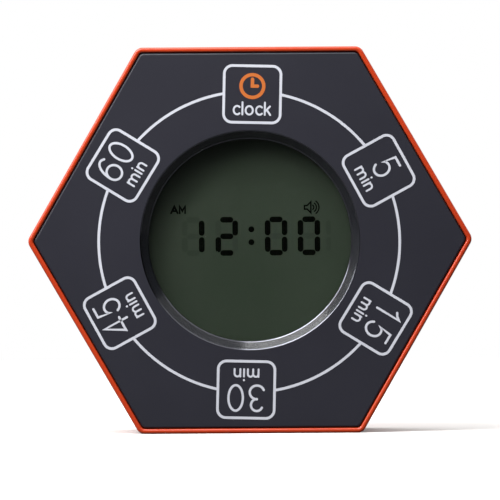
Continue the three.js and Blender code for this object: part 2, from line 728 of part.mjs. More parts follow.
// The upper cell's flat end and the lower cell's nub are at -X, where the two outer contacts are. The
// bridge at +X joins the upper cell's nub to the lower cell's flat end.
function batteryPieces() {
  const flatEnd = -bayHalfX + 2 * touch + contact.plate + contact.springLength + touch;
  const upper = bayY + cellPitch / 2;
  const lower = bayY - cellPitch / 2;
  const plateX = -bayHalfX + touch + contact.plate;
  const half = contact.width / 2;
  const outerPlate = (y) => join(
    box(plateX - contact.plate, plateX, y - half, y + half, cellZ - half, cellZ + half),
    box(plateX - contact.plate, plateX, y - contact.tab / 2, y + contact.tab / 2, cellZ, bayTop + 2.4),
  );
  const bridgePlate = box(
    -plateX, -plateX + contact.plate, lower - half, upper + half, cellZ - half, cellZ + half,
  );
  const negative = join(outerPlate(upper), spring().translate([plateX, upper, cellZ]));
  const positive = join(outerPlate(lower), dimple().translate([plateX, lower, cellZ]));
  const bridge = join(
    bridgePlate,
    spring().rotate([0, 180, 0]).translate([-plateX, lower, cellZ]),
    dimple().rotate([0, 180, 0]).translate([-plateX, upper, cellZ]),
  );
  return [
    piece('battery_cell_1', cellSolid().translate([flatEnd, upper, cellZ]), cellJacket),
    piece('battery_cell_2', cellSolid().rotate([0, 0, 180]).translate([-flatEnd, lower, cellZ]), cellJacket),
    piece('negative_contact', negative, nickel),
    piece('positive_contact', positive, nickel),
    piece('bridge_contact', bridge, nickel),
  ];
}

function batteryDoor() {
  const panel = extruded(roundedRectangle(doorHalfX, doorHalfY, 1, 0, bayY), door.sink, doorBack);
  const tongueEnd = tongueZ + tongue.thickness;
  const tongues = [-tongueX, tongueX].flatMap((x) => {
    const half = tongue.width / 2;
    const root = hingeY - 1.5 - door.lap;
    return [
      box(x - half, x + half, root, root + 1.4, doorBack - 0.4, tongueEnd),
      box(x - half, x + half, root, hingeY + tongue.reach, tongueZ, tongueEnd),
    ];
  });
  const rib = box(-bayHalfX * 0.8, bayHalfX * 0.8, bayY - 0.6, bayY + 0.6, doorBack - 0.4, doorBack + 1.5);
  const latchY = bayY - bayHalfY + 0.75;
  const latch = box(-4, 4, latchY, latchY + 1, doorBack - 0.4, doorBack + 1.7);
  const gripRidges = [0, 1, 2].map((i) => {
    const y = bayY - doorHalfY + 2.2 + i * 1.6;
    return box(-5, 5, y - 0.35, y + 0.35, 0, door.sink + 0.35);
  });
  return piece('battery_door', cut(join(panel, ...tongues, rib, latch), ...gripRidges), orangePlastic);
}

// Leads between the boards, the contacts and the buzzer

function lead(name, points, material, steps = 14) {
  const curve = new THREE.CatmullRomCurve3(points.map((p) => new THREE.Vector3(...p)));
  return piece(name, strand(curve, wireRadius, steps, 3), material);
}

function leads() {
  const tabX = -bayHalfX - wireRadius - touch;
  const tabEnd = bayTop + 1.6;
  const topZ = boardBack - fit;
  const upper = bayY + cellPitch / 2;
  const lower = bayY - cellPitch / 2;
  const discZ = shelfZ + buzzer.plate + 2 * touch + fit;
  const ceramicZ = discZ + buzzerCeramic.thickness + touch;
  const middleZ = (discZ + topZ) / 2;
  const edgeX = buzzerCeramic.radius + 1.1;
  return [
    lead('battery_lead_red', [
      [tabX, lower, tabEnd], [tabX, lower + 2.5, tabEnd + 0.6], [tabX + 2, lower + 4, topZ - 1.6],
      [tabX + 2.2, lower + 4.2, topZ - 0.2],
    ], redWire, 9),
    lead('battery_lead_black', [
      [tabX, upper, tabEnd], [tabX, upper + 2.5, tabEnd + 0.6], [tabX + 2, upper + 4, topZ - 1.6],
      [tabX + 2.2, upper + 4.2, topZ - 0.2],
    ], blackWire, 9),
    lead('buzzer_lead_red', [
      [3, buzzerY, ceramicZ], [3.4, buzzerY + 0.6, ceramicZ + 1.6], [5, buzzerY + 3, middleZ],
      [7, buzzerY + 1, topZ - 2], [7, buzzerY, topZ - 0.2],
    ], redWire),
    lead('buzzer_lead_black', [
      [-edgeX, buzzerY, discZ], [-edgeX + 0.3, buzzerY + 0.6, discZ + 1.6], [-5, buzzerY + 4, middleZ],
      [-3, buzzerY + 1, topZ - 2], [-3, buzzerY, topZ - 0.2],
    ], blackWire),
  ];
}

// A flat ribbon between the two boards, bent in the YZ plane and drawn out along X.
function ribbonCable() {
  const y = keysY + keyBoard.height / 2 - 2;
  const from = keyBoardFront + fit;
  const to = boardBack - fit;
  const path = new THREE.CatmullRomCurve3([
    new THREE.Vector3(from, y, 0),
    new THREE.Vector3(from + (to - from) * 0.25, y + ribbon.bulge * 0.15, 0),
    new THREE.Vector3(from + (to - from) * 0.6, y + ribbon.bulge, 0),
    new THREE.Vector3(to, y + ribbon.bulge * 0.9, 0),
  ]);
  const points = path.getPoints(12);
  const side = (sign) => points.map((p, i) => {
    const along = path.getTangent(i / (points.length - 1));
    const offset = sign * ribbon.halfThick;
    return new THREE.Vector2(p.x - offset * along.y, p.y + offset * along.x);
  });
  const outline = new THREE.Shape([...side(-1), ...side(1).reverse()]);
  const geometry = new THREE.ExtrudeGeometry(outline, { depth: ribbon.width, bevelEnabled: false });
  const turn = new THREE.Matrix4().makeBasis(
    new THREE.Vector3(0, 0, 1), new THREE.Vector3(0, 1, 0), new THREE.Vector3(-1, 0, 0),
  );
  return piece('ribbon_cable', solid(geometry.applyMatrix4(turn)).translate([ribbon.x, 0, 0]), greyWire);
}

const timer = new THREE.Group();
timer.add(
  rearCase(),
  frontPlate(),
  windowLens(),
  lensTape(),
  ...displayPieces(),
  circuitBoard(),
  ...boardComponents(),
  ...tiltSensor(),
  keyBoardPiece(),
  ...keyPieces(),
  ...volumeSlider(),
  ...buzzerPieces(),
  ...batteryPieces(),
  batteryDoor(),
  ...leads(),
  ribbonCable(),
  ...screws(),
);
timer.rotation.x = Math.PI / 2;
timer.position.set(0, housing.depth / 2, halfFlats);

export default timer;
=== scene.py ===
import json
import math
import bmesh
import bpy
from mathutils import Matrix, Vector


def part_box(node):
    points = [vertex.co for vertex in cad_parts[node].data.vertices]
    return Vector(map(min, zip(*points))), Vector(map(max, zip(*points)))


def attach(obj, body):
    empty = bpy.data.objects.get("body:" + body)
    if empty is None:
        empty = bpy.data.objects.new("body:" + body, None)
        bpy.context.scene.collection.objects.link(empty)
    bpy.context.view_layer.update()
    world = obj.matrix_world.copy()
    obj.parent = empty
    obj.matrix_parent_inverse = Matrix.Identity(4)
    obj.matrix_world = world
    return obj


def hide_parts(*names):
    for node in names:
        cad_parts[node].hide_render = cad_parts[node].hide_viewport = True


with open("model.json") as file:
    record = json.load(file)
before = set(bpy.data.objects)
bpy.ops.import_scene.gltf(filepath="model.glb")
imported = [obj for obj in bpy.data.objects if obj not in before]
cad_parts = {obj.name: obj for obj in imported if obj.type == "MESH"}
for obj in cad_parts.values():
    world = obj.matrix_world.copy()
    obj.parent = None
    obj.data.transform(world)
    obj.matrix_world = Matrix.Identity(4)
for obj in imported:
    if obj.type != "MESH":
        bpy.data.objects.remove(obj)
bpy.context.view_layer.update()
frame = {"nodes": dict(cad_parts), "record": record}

# A hexagonal kitchen timer. Shapes are drawn in millimetres looking at its face: x across, y up and
# z out of the face, with z = 0 on the outside of the rear wall. toRow turns them into the frame.

mm = 0.001
caseLow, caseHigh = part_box("rear_case")
halfFlats = (caseHigh[2] - caseLow[2]) / 2 / mm
depth = (caseHigh[1] - caseLow[1]) / mm
middle = (caseHigh[2] + caseLow[2]) / 2
toRow = (Matrix.Translation((0, caseHigh[1], middle)) @ Matrix.Rotation(math.pi / 2, 4, "X")
         @ Matrix.Scale(mm, 4))


def span(node):
    # lowest and highest x, y and z of a CAD node, in the drawing's millimetres
    low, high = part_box(node)
    return ((low[0] / mm, (low[2] - middle) / mm, (caseHigh[1] - high[1]) / mm),
            (high[0] / mm, (high[2] - middle) / mm, (caseHigh[1] - low[1]) / mm))


def spot(node):
    # the middle of a CAD node, looking at the face
    low, high = span(node)
    return (low[0] + high[0]) / 2, (low[1] + high[1]) / 2


def spots(prefix, count):
    return [spot(prefix + str(i + 1)) for i in range(count)]


plateLow, plateHigh = span("front_bezel")
lensLow, lensHigh = span("window_lens")
plateFront = plateHigh[2]

# Camera

view = {
    "distance": 1.2,
    "pictureWidth": 0.1164,  # how much of the face's plane the picture spans
    "roll": -0.38,  # degrees
    "faceBelowCentre": -0.0023,  # the timer sits a little above the picture's middle
}


def makeCamera():
    data = bpy.data.cameras.new("camera")
    data.sensor_width = 36
    data.lens = data.sensor_width * view["distance"] / view["pictureWidth"]
    data.clip_end = 50
    camera = bpy.data.objects.new("camera", data)
    bpy.context.scene.collection.objects.link(camera)
    camera.location = (0, caseLow[1] - view["distance"], middle + view["faceBelowCentre"])
    camera.rotation_euler = (math.pi / 2, 0, 0)
    camera.rotation_euler = (camera.rotation_euler.to_matrix()
                             @ Matrix.Rotation(math.radians(view["roll"]), 3, "Z")).to_euler()
    bpy.context.scene.camera = camera


makeCamera()
print("camera placed")

# Mesh tools


def newObject(name, mesh):
    obj = bpy.data.objects.new(name, mesh)
    bpy.context.scene.collection.objects.link(obj)
    return obj


def arc(cx, cy, rx, ry, start, end, steps):
    points = []
    for i in range(steps + 1):
        angle = math.radians(start + (end - start) * i / steps)
        points.append((cx + rx * math.cos(angle), cy + ry * math.sin(angle)))
    return points


def circle(radius, steps=96, cx=0, cy=0):
    return arc(cx, cy, radius, radius, 0, 360, steps)[:-1]


def hexagon(apothem, radius, steps=10):
    points = []
    centre = (apothem - radius) / math.cos(math.pi / 6)
    for i in range(6):
        angle = math.radians(60 * i)
        cx, cy = centre * math.cos(angle), centre * math.sin(angle)
        points += arc(cx, cy, radius, radius, 60 * i - 30, 60 * i + 30, steps)
    return points


def roundedBox(halfX, halfY, radius, cx=0, cy=0, steps=6):
    points = []
    for i, (sx, sy) in enumerate([(1, 1), (-1, 1), (-1, -1), (1, -1)]):
        points += arc(cx + sx * (halfX - radius), cy + sy * (halfY - radius), radius, radius,
                      90 * i, 90 * i + 90, steps)
    return points


def roundOver(radius, steps=5):
    # (how far in, how far down) along a quarter round, from the side to the top
    turns = [math.pi / 2 * i / steps for i in range(steps + 1)]
    return [(radius * (1 - math.cos(turn)), radius * (1 - math.sin(turn))) for turn in turns]


def skin(bm, rows, closed):
    # four-sided faces between rows with the same number of points; open ends are capped
    count = len(rows[0])
    for low, high in list(zip(rows, rows[1:])) + ([(rows[-1], rows[0])] if closed else []):
        for i in range(count):
            j = (i + 1) % count
            bm.faces.new((low[i], low[j], high[j], high[i]))
    if not closed:
        bm.faces.new(rows[0][::-1])
        bm.faces.new(rows[-1])
    bmesh.ops.recalc_face_normals(bm, faces=bm.faces)
    return bm


def loft(rings, closed=False):
    # rings are (outline, z) with the same number of points
    bm = bmesh.new()
    return skin(bm, [[bm.verts.new((x, y, z)) for x, y in outline] for outline, z in rings], closed)


def lathe(profile, steps=72, cx=0, cy=0):
    # profile is (radius, z), from one end to the other; a radius of 0 is only for the ends
    bm = bmesh.new()
    rows = []
    for radius, z in profile:
        around = circle(radius, steps, cx, cy) if radius > 1e-6 else [(cx, cy)]
        rows.append([bm.verts.new((x, y, z)) for x, y in around])
    for low, high in zip(rows, rows[1:]):
        for i in range(steps):
            j = (i + 1) % steps
            if len(low) == 1:
                bm.faces.new((low[0], high[j], high[i]))
            elif len(high) == 1:
                bm.faces.new((low[i], low[j], high[0]))
            else:
                bm.faces.new((low[i], low[j], high[j], high[i]))
    for row in (rows[0], rows[-1]):
        if len(row) > 1:
            bm.faces.new(row)
    bmesh.ops.recalc_face_normals(bm, faces=bm.faces)
    return bm


def prism(outline, z0, z1):
    return loft([(outline, z0), (outline, z1)])


def block(x0, x1, y0, y1, z0, z1):
    return prism([(x0, y0), (x1, y0), (x1, y1), (x0, y1)], z0, z1)


def softPrism(outlineAt, z0, z1, low=0.0, high=0.0, steps=5):
    # outlineAt(inset) gives the outline drawn in by that much; low and high are the edges' rounds
    rings = []
    if low:
        rings += [(outlineAt(inset), z0 + down) for inset, down in reversed(roundOver(low, steps))]
    else:
        rings.append((outlineAt(0), z0))
    if high:
        rings += [(outlineAt(inset), z1 - down) for inset, down in roundOver(high, steps)]
    else:
        rings.append((outlineAt(0), z1))
    return loft(rings)


def merge(*parts):
    # several closed shapes in one mesh
    whole = bmesh.new()
    for part in parts:
        mesh = bpy.data.meshes.new("part")
        part.to_mesh(mesh)
        part.free()
        whole.from_mesh(mesh)
        bpy.data.meshes.remove(mesh)
    return whole


def meshOf(name, bm):
    mesh = bpy.data.meshes.new(name)
    bm.to_mesh(mesh)
    bm.free()
    return mesh


def discard(obj):
    spare = obj.data
    bpy.data.objects.remove(obj)
    bpy.data.meshes.remove(spare)


def modified(obj):
    # the plain shape that an object's modifiers make
    graph = bpy.context.evaluated_depsgraph_get()
    mesh = bpy.data.meshes.new_from_object(obj.evaluated_get(graph))
    bm = bmesh.new()
    bm.from_mesh(mesh)
    bpy.data.meshes.remove(mesh)
    return bm


def carve(body, joined=(), removed=()):
    # joins shapes to a body and cuts others from it, one after another
    work = newObject("work", meshOf("work", body))
    tools = []
    for parts, operation in ((joined, "UNION"), (removed, "DIFFERENCE")):
        for part in parts:
            tool = newObject("tool", meshOf("tool", part))
            step = work.modifiers.new("cut", "BOOLEAN")
            step.operation, step.object, step.solver = operation, tool, "MANIFOLD"
            tools.append(tool)
    bm = modified(work)
    for obj in tools + [work]:
        discard(obj)
    bmesh.ops.remove_doubles(bm, verts=bm.verts, dist=1e-4)
    return bm


def ribbon(points, width, z0, z1, closed=False, roundEnds=True):
    # a flat strip along a line, mitred at its corners
    gap = lambda a, b: (Vector(b) - Vector(a)).length
    line = [points[0]] + [p for a, p in zip(points, points[1:]) if gap(a, p) > 1e-6]
    if gap(line[0], line[-1]) < 1e-4:
        closed = True
        line = line[:-1]
    count = len(line)
    stations = []
    for i, point in enumerate(line):
        here = Vector(point)
        before = Vector(line[i - 1]) if closed or i else None
        after = Vector(line[(i + 1) % count]) if closed or i < count - 1 else None
        into = (here - before).normalized() if before is not None else (after - here).normalized()
        out = (after - here).normalized() if after is not None else into
        along = (into + out).normalized()
        normal = Vector((-along.y, along.x))
        reach = width / 2 / max(0.4, along.dot(into))
        stations.append((here, normal, reach, along))
    if roundEnds and not closed:
        ends = [20, 40, 58, 72, 84]
        first, last = stations[0], stations[-1]
        cap = [(math.sin(math.radians(a)) * width / 2, math.cos(math.radians(a))) for a in ends]
        lead = [(first[0] - first[3] * s, first[1], first[2] * c, first[3]) for s, c in reversed(cap)]
        tail = [(last[0] + last[3] * s, last[1], last[2] * c, last[3]) for s, c in cap]
        stations = lead + stations + tail
    bm = bmesh.new()
    rows = []
    for here, normal, reach, _ in stations:
        left, right = here + normal * reach, here - normal * reach
        corners = ((left, z0), (right, z0), (right, z1), (left, z1))
        rows.append([bm.verts.new((*point, z)) for point, z in corners])
    return skin(bm, rows, closed)


def moved(points, dx, dy):
    return [(x + dx, y + dy) for x, y in points]


def turnedBy(points, angle, cx=0, cy=0):
    turn = Matrix.Rotation(math.radians(angle), 2)
    return [tuple(turn @ Vector(p) + Vector((cx, cy))) for p in points]


# Node tools


def addNode(tree, kind, inputs=None, **settings):
    # inputs gives a socket, by name or number, its value or the socket that feeds it
    node = tree.nodes.new(kind)
    for name, value in settings.items():
        setattr(node, name, value)
    for socket, value in (inputs or {}).items():
        if isinstance(value, bpy.types.NodeSocket):
            tree.links.new(value, node.inputs[socket])
        else:
            node.inputs[socket].default_value = value
    return node


def mathNode(tree, operation, a, b, clamp=False):
    return addNode(tree, "ShaderNodeMath", {0: a, 1: b}, operation=operation, use_clamp=clamp).outputs[0]


def nodeGroup(name, kind, inputs, outputs):
    # inputs are (label, socket type, value), outputs are (label, socket type)
    group = bpy.data.node_groups.new(name, kind)
    for label, socketType, value in inputs:
        socket = group.interface.new_socket(label, in_out="INPUT", socket_type="NodeSocket" + socketType)
        if value is not None:
            socket.default_value = value
    for label, socketType in outputs:
        group.interface.new_socket(label, in_out="OUTPUT", socket_type="NodeSocket" + socketType)
    return group, group.nodes.new("NodeGroupInput"), group.nodes.new("NodeGroupOutput")


def shapeTree(name, sizes):
    return nodeGroup(name, "GeometryNodeTree", [("Geometry", "Geometry", None)] + sizes,
                     [("Geometry", "Geometry")])


def smoothTree():
    # loose triangles become a smooth surface that stays sharp at its real edges
    group, start, end = shapeTree("smoothByAngle", [("Angle", "Float", 0.6), ("Merge", "Float", 2e-6)])
    weld = addNode(group, "GeometryNodeMergeByDistance",
                   {"Geometry": start.outputs["Geometry"], "Distance": start.outputs["Merge"]})
    angle = addNode(group, "GeometryNodeInputMeshEdgeAngle").outputs["Unsigned Angle"]
    steep = mathNode(group, "GREATER_THAN", angle, start.outputs["Angle"])
    smooth = addNode(group, "GeometryNodeSetShadeSmooth",
                     {"Geometry": weld.outputs[0], "Shade Smooth": True}, domain="FACE")
    sharp = addNode(group, "GeometryNodeSetShadeSmooth",
                    {"Geometry": smooth.outputs[0], "Selection": steep, "Shade Smooth": False}, domain="EDGE")
    group.links.new(sharp.outputs[0], end.inputs[0])
    return group


def paintAndEnd(group, start, end, shape):
    real = addNode(group, "GeometryNodeRealizeInstances", {0: shape})
    paint = addNode(group, "GeometryNodeSetMaterial",
                    {"Geometry": real.outputs[0], "Material": start.outputs["Material"]})
    group.links.new(paint.outputs[0], end.inputs[0])
    return group


def copiesTree(name, sizes, kind, **settings):
    # copies of a shape at the points of a simple mesh; sizes are (label, type, value, that mesh's socket)
    group, start, end = shapeTree(name, [size[:3] for size in sizes] + [("Material", "Material", None)])
    points = addNode(group, kind, {size[3]: start.outputs[size[0]] for size in sizes}, **settings)
    place = addNode(group, "GeometryNodeInstanceOnPoints",
                    {"Points": points.outputs[0], "Instance": start.outputs["Geometry"]})
    return paintAndEnd(group, start, end, place.outputs[0])


def coilTree():
    # a wire wound into a cone, from its wide end at the bottom
    sizes = [("Turns", 3.25, "Rotations"), ("Wide Radius", 3.4, "Start Radius"),
             ("Narrow Radius", 2.2, "End Radius"), ("Height", 3.0, "Height")]
    group, start, end = shapeTree("coilOfWire", [(label, "Float", value) for label, value, _ in sizes]
                                  + [("Wire", "Float", 0.32), ("Material", "Material", None)])
    spiral = addNode(group, "GeometryNodeCurveSpiral",
                     {socket: start.outputs[label] for label, _, socket in sizes})
    spiral.inputs["Resolution"].default_value = 40
    section = addNode(group, "GeometryNodeCurvePrimitiveCircle",
                      {"Resolution": 12, "Radius": start.outputs["Wire"]})
    tube = addNode(group, "GeometryNodeCurveToMesh", {"Curve": spiral.outputs[0], "Fill Caps": True,
                                                      "Profile Curve": section.outputs[0]})
    return paintAndEnd(group, start, end, tube.outputs[0])


def socketId(tree, label):
    wanted = label.replace("_", " ")
    return next(item.identifier for item in tree.interface.items_tree
                if item.in_out == "INPUT" and item.name == wanted)


def grown(tree, base, **values):
    # runs a tree on a shape and gives the plain result back
    work = newObject("grow", meshOf("grow", base))
    step = work.modifiers.new("grow", "NODES")
    step.node_group = tree
    for label, value in values.items():
        step[socketId(tree, label)] = value
    bm = modified(work)
    discard(work)
    bmesh.ops.recalc_face_normals(bm, faces=bm.faces)
    return bm


smoothByAngle = smoothTree()
rowOfCopies = copiesTree("rowOfCopies", [("Count", "Int", 3, "Count"), ("Step", "Vector", None, "Offset")],
                         "GeometryNodeMeshLine", mode="OFFSET")
ringOfCopies = copiesTree("ringOfCopies", [("Count", "Int", 6, "Vertices"),
                                           ("Radius", "Float", 1.0, "Radius")], "GeometryNodeMeshCircle")
coilOfWire = coilTree()

# Shared shader groups


def grainTree():
    # fine moulded grain and a slow blotch, both from the piece's own place
    group, start, end = nodeGroup("mouldedGrain", "ShaderNodeTree",
                                  [("Grain Size", "Float", 0.4), ("Blotch Size", "Float", 18.0)],
                                  [("Height", "Float"), ("Blotch", "Float")])
    place = addNode(group, "ShaderNodeTexCoord").outputs["Object"]
    for label, socket, detail in (("Grain Size", "Height", 3.0), ("Blotch Size", "Blotch", 2.0)):
        fineness = mathNode(group, "DIVIDE", 1 / mm, start.outputs[label])
        noise = addNode(group, "ShaderNodeTexNoise", {"Vector": place, "Scale": fineness, "Detail": detail})
        group.links.new(noise.outputs[0], end.inputs[socket])
    return group


def wearTree():
    # a mask of edges that hands rub, broken up by noise
    group, start, end = nodeGroup("edgeWear", "ShaderNodeTree",
                                  [("Width", "Float", 0.3), ("Amount", "Float", 1.0)], [("Mask", "Float")])
    width = mathNode(group, "MULTIPLY", start.outputs["Width"], mm)
    soft = addNode(group, "ShaderNodeBevel", {"Radius": width}, samples=4)
    hard = addNode(group, "ShaderNodeNewGeometry").outputs["Normal"]
    match = addNode(group, "ShaderNodeVectorMath", {0: soft.outputs[0], 1: hard}, operation="DOT_PRODUCT")
    apart = mathNode(group, "SUBTRACT", 1.0, match.outputs["Value"])
    place = addNode(group, "ShaderNodeTexCoord").outputs["Object"]
    noise = addNode(group, "ShaderNodeTexNoise", {"Vector": place, "Scale": 450, "Detail": 4})
    broken = mathNode(group, "MULTIPLY", mathNode(group, "SUBTRACT", noise.outputs[0], 0.35), 3.0, True)
    mask = mathNode(group, "MULTIPLY", mathNode(group, "MULTIPLY", apart, 6.0, True), broken)
    group.links.new(mathNode(group, "MULTIPLY", mask, start.outputs["Amount"], True), end.inputs[0])
    return group


mouldedGrain = grainTree()
edgeWear = wearTree()

# Materials


def linear(hexColour):
    parts = [int(hexColour[i:i + 2], 16) / 255 for i in (0, 2, 4)]
    return tuple(c / 12.92 if c <= 0.04045 else ((c + 0.055) / 1.055) ** 2.4 for c in parts) + (1,)


def mixColour(tree, factor, a, b):
    # sockets 6 and 7 and output 2 are the ones for colours
    return addNode(tree, "ShaderNodeMix", {0: factor, 6: a, 7: b}, data_type="RGBA").outputs[2]


def rangeNode(tree, value, low, high):
    # the middle half of a noise, spread from low to high
    return addNode(tree, "ShaderNodeMapRange", {"Value": value, "From Min": 0.25, "From Max": 0.75,
                                                "To Min": low, "To Max": high}).outputs[0]


def newMaterial(name, values, grain, blotch):
    # a material with its shader's own values, and the grain that its other nodes read
    material = bpy.data.materials.new(name)
    material.use_nodes = True
    tree = material.node_tree
    shader = tree.nodes["Principled BSDF"]
    for label, value in values.items():
        shader.inputs[label].default_value = value
    noise = addNode(tree, "ShaderNodeGroup", {"Grain Size": grain, "Blotch Size": blotch},
                    node_tree=mouldedGrain)
    return material, tree, shader, noise.outputs


def paintOver(material, mask, colour):
    # puts a colour over a finish where the mask says
    tree = material.node_tree
    target = tree.nodes["Principled BSDF"].inputs["Base Color"]
    tree.links.new(mixColour(tree, mask, target.links[0].from_socket, linear(colour)), target)


def addRelief(tree, shader, height, depthInMm):
    relief = addNode(tree, "ShaderNodeBump", {"Distance": depthInMm * mm, "Height": height})
    tree.links.new(relief.outputs[0], shader.inputs["Normal"])


def surface(name, dark, light, rough=(0.3, 0.4), metallic=0.0, grain=0.4, blotch=18.0, bump=0.02,
            wear=0.0, wearColour="ffffff", specular=0.5, coat=0.0):
    # a finish that varies slowly between two colours, with grain in its height and its gloss
    material, tree, shader, noise = newMaterial(
        name, {"Metallic": metallic, "Specular IOR Level": specular, "Coat Weight": coat,
               "Coat Roughness": 0.1}, grain, blotch)
    colour = mixColour(tree, rangeNode(tree, noise["Blotch"], 0, 1), linear(dark), linear(light))
    tree.links.new(colour, shader.inputs["Base Color"])
    tree.links.new(rangeNode(tree, noise["Height"], *rough), shader.inputs["Roughness"])
    if wear:
        mask = addNode(tree, "ShaderNodeGroup", {"Amount": wear}, node_tree=edgeWear).outputs[0]
        paintOver(material, mask, wearColour)
    if bump:
        addRelief(tree, shader, noise["Height"], bump)
    return material


def glassSurface(name, tint, rough, ior=1.49):
    material, tree, shader, noise = newMaterial(name, {"Transmission Weight": 1.0, "IOR": ior}, 3.0, 25.0)
    colour = mixColour(tree, rangeNode(tree, noise["Blotch"], 0, 1), linear(tint), linear("ffffff"))
    tree.links.new(colour, shader.inputs["Base Color"])
    tree.links.new(rangeNode(tree, noise["Height"], rough, rough + 0.006), shader.inputs["Roughness"])
    return material


def boardSurface(name):
    # solder mask over copper tracks, which show as raised lighter lines
    material = surface(name, "0e3f22", "145a30", rough=(0.25, 0.35), grain=0.8, bump=0, coat=0.3)
    tree = material.node_tree
    place = addNode(tree, "ShaderNodeTexCoord").outputs["Object"]
    turn = addNode(tree, "ShaderNodeMapping", {"Vector": place, "Rotation": (math.pi / 2, 0, 0)})
    tracks = addNode(tree, "ShaderNodeTexBrick",
                     {"Vector": turn.outputs[0], "Scale": 120.0, "Mortar Size": 0.03, "Mortar Smooth": 0.3,
                      "Brick Width": 0.9, "Row Height": 0.22}, offset=0.37).outputs["Fac"]
    paintOver(material, tracks, "2f8048")
    addRelief(tree, tree.nodes["Principled BSDF"], tracks, 0.05)
    return material


def cellSurface(name):
    # a printed sleeve with a copper-coloured end, which the mesh's band attribute marks
    material = surface(name, "16363b", "1b4248", rough=(0.2, 0.3), grain=1.5, bump=0.005, coat=0.4)
    band = addNode(material.node_tree, "ShaderNodeAttribute", attribute_name="band")
    paintOver(material, band.outputs["Fac"], "b87a45")
    return material


finishes = {
    "orange_plastic": surface("orangePlastic", "b8340d", "c03b10", rough=(0.28, 0.36), grain=0.35,
                              bump=0.008, wear=0.35, wearColour="e8794c", coat=0.05),
    "charcoal_plastic": surface("charcoalPlastic", "1e1e28", "22222c", rough=(0.40, 0.50), grain=0.3,
                                bump=0.012, wear=0.25, wearColour="4a4b52", specular=0.45),
    "black_plastic": surface("blackPlastic", "131416", "1a1b1e", rough=(0.45, 0.6), bump=0.01),
    "window": glassSurface("windowPlastic", "f4f8f6", 0.0),
    "display_glass": glassSurface("displayGlass", "e6efe8", 0.01, 1.52),
    "display_film": surface("displayFilm", "242c22", "2b3329", rough=(0.4, 0.5), grain=0.5, blotch=30,
                            bump=0.002, specular=0.15),
    "silver_film": surface("silverFilm", "8a9284", "9aa294", rough=(0.3, 0.4), metallic=0.6, bump=0.004),
    "connector_rubber": surface("connectorRubber", "1c1c1c", "2a2a2a", rough=(0.7, 0.85), bump=0.02),
    "circuit_board": boardSurface("circuitBoard"),
    "epoxy": surface("epoxy", "08080a", "101013", rough=(0.12, 0.25), grain=1.2, bump=0.02),
    "steel": surface("zincSteel", "9ea1a6", "b6b9bd", rough=(0.25, 0.38), metallic=1.0, grain=0.25,
                     bump=0.008, wear=0.5, wearColour="dfe2e6"),
    "nickel": surface("nickelPlate", "b5b1a7", "c9c5ba", rough=(0.18, 0.3), metallic=1.0, grain=0.3,
                      bump=0.006, wear=0.3, wearColour="eeeae0"),
    "brass": surface("brassDisc", "a8843a", "bd9950", rough=(0.25, 0.4), metallic=1.0, bump=0.006),
    "ceramic": surface("ceramicDisc", "d9d3c3", "e6e1d3", rough=(0.5, 0.65), bump=0.01),
    "cell_jacket": cellSurface("cellSleeve"),
    "tape": surface("foamTape", "0b0b0b", "151515", rough=(0.8, 0.95), bump=0.03),
    "red_wire": surface("redInsulation", "9c1512", "b51d18", rough=(0.35, 0.45), bump=0.006),
    "black_wire": surface("blackInsulation", "121212", "1b1b1b", rough=(0.35, 0.45), bump=0.006),
    "grey_wire": surface("greyInsulation", "8b8c90", "9c9da1", rough=(0.4, 0.55), bump=0.01),
}
wellFinish = surface("wellWall", "16171c", "1a1b21", rough=(0.16, 0.22), grain=0.6, bump=0.001,
                     specular=0.6)
edgeFinish = surface("polishedEdge", "5c5d63", "67686e", rough=(0.12, 0.18), metallic=1.0, grain=0.6,
                     bump=0.001)
printFinish = surface("lightPrint", "c0c2cb", "cbcdd6", rough=(0.45, 0.6), grain=0.25, bump=0.01)
dialFinish = surface("orangePrint", "b8601f", "c66a26", rough=(0.45, 0.6), grain=0.25, bump=0.01)
segmentFinish = surface("darkSegments", "020302", "030503", rough=(0.5, 0.6), grain=0.5, bump=0.002,
                        specular=0.0)
# the unlit segments' own faint tone; it also colours the painted shadow bars right of the last digit
unlitSegmentAndShadowFinish = surface("unlitSegmentsAndPaintedShadow", "1f261e", "252c23", rough=(0.4, 0.5), grain=0.5, bump=0.002,
                      specular=0.15)
print("materials made")


def patches(faces, joined):
    # splits faces into groups that hang together across their edges
    left = {face.index: face for face in faces}
    while left:
        group, queue = [], [left.pop(next(iter(left)))]
        while queue:
            face = queue.pop()
            group.append(face)
            for edge in face.edges:
                for other in edge.link_faces:
                    if other.index in left and joined(face, edge, other):
                        queue.append(left.pop(other.index))
        yield group


def flatAreas(bm):
    # for each face, the area of the flat surface that it is part of
    areas = [0.0] * len(bm.faces)
    for group in patches(bm.faces, lambda face, edge, other: face.normal.dot(other.normal) > 0.999995):
        area = sum(face.calc_area() for face in group)
        for face in group:
            areas[face.index] = area
    return areas


def cornerNormals(bm, sharp):
    # smooth normals that lean to the largest flat surface at each corner, so that flats stay flat
    areas = flatAreas(bm)
    limit = math.cos(math.radians(sharp))
    for edge in bm.edges:
        faces = edge.link_faces
        edge.smooth = len(faces) == 2 and faces[0].normal.dot(faces[1].normal) > limit
    normals = {}
    for vert in bm.verts:
        loops = {loop.face.index: loop for loop in vert.link_loops}
        faces = [loop.face for loop in loops.values()]
        for fan in patches(faces, lambda face, edge, other: edge.smooth and vert in edge.verts):
            total = Vector()
            for face in fan:
                total += face.normal * areas[face.index] ** 2 * loops[face.index].calc_angle()
            for face in fan:
                normals[loops[face.index].index] = total.normalized()
    return [normals[loop.index] for face in bm.faces for loop in face.loops]


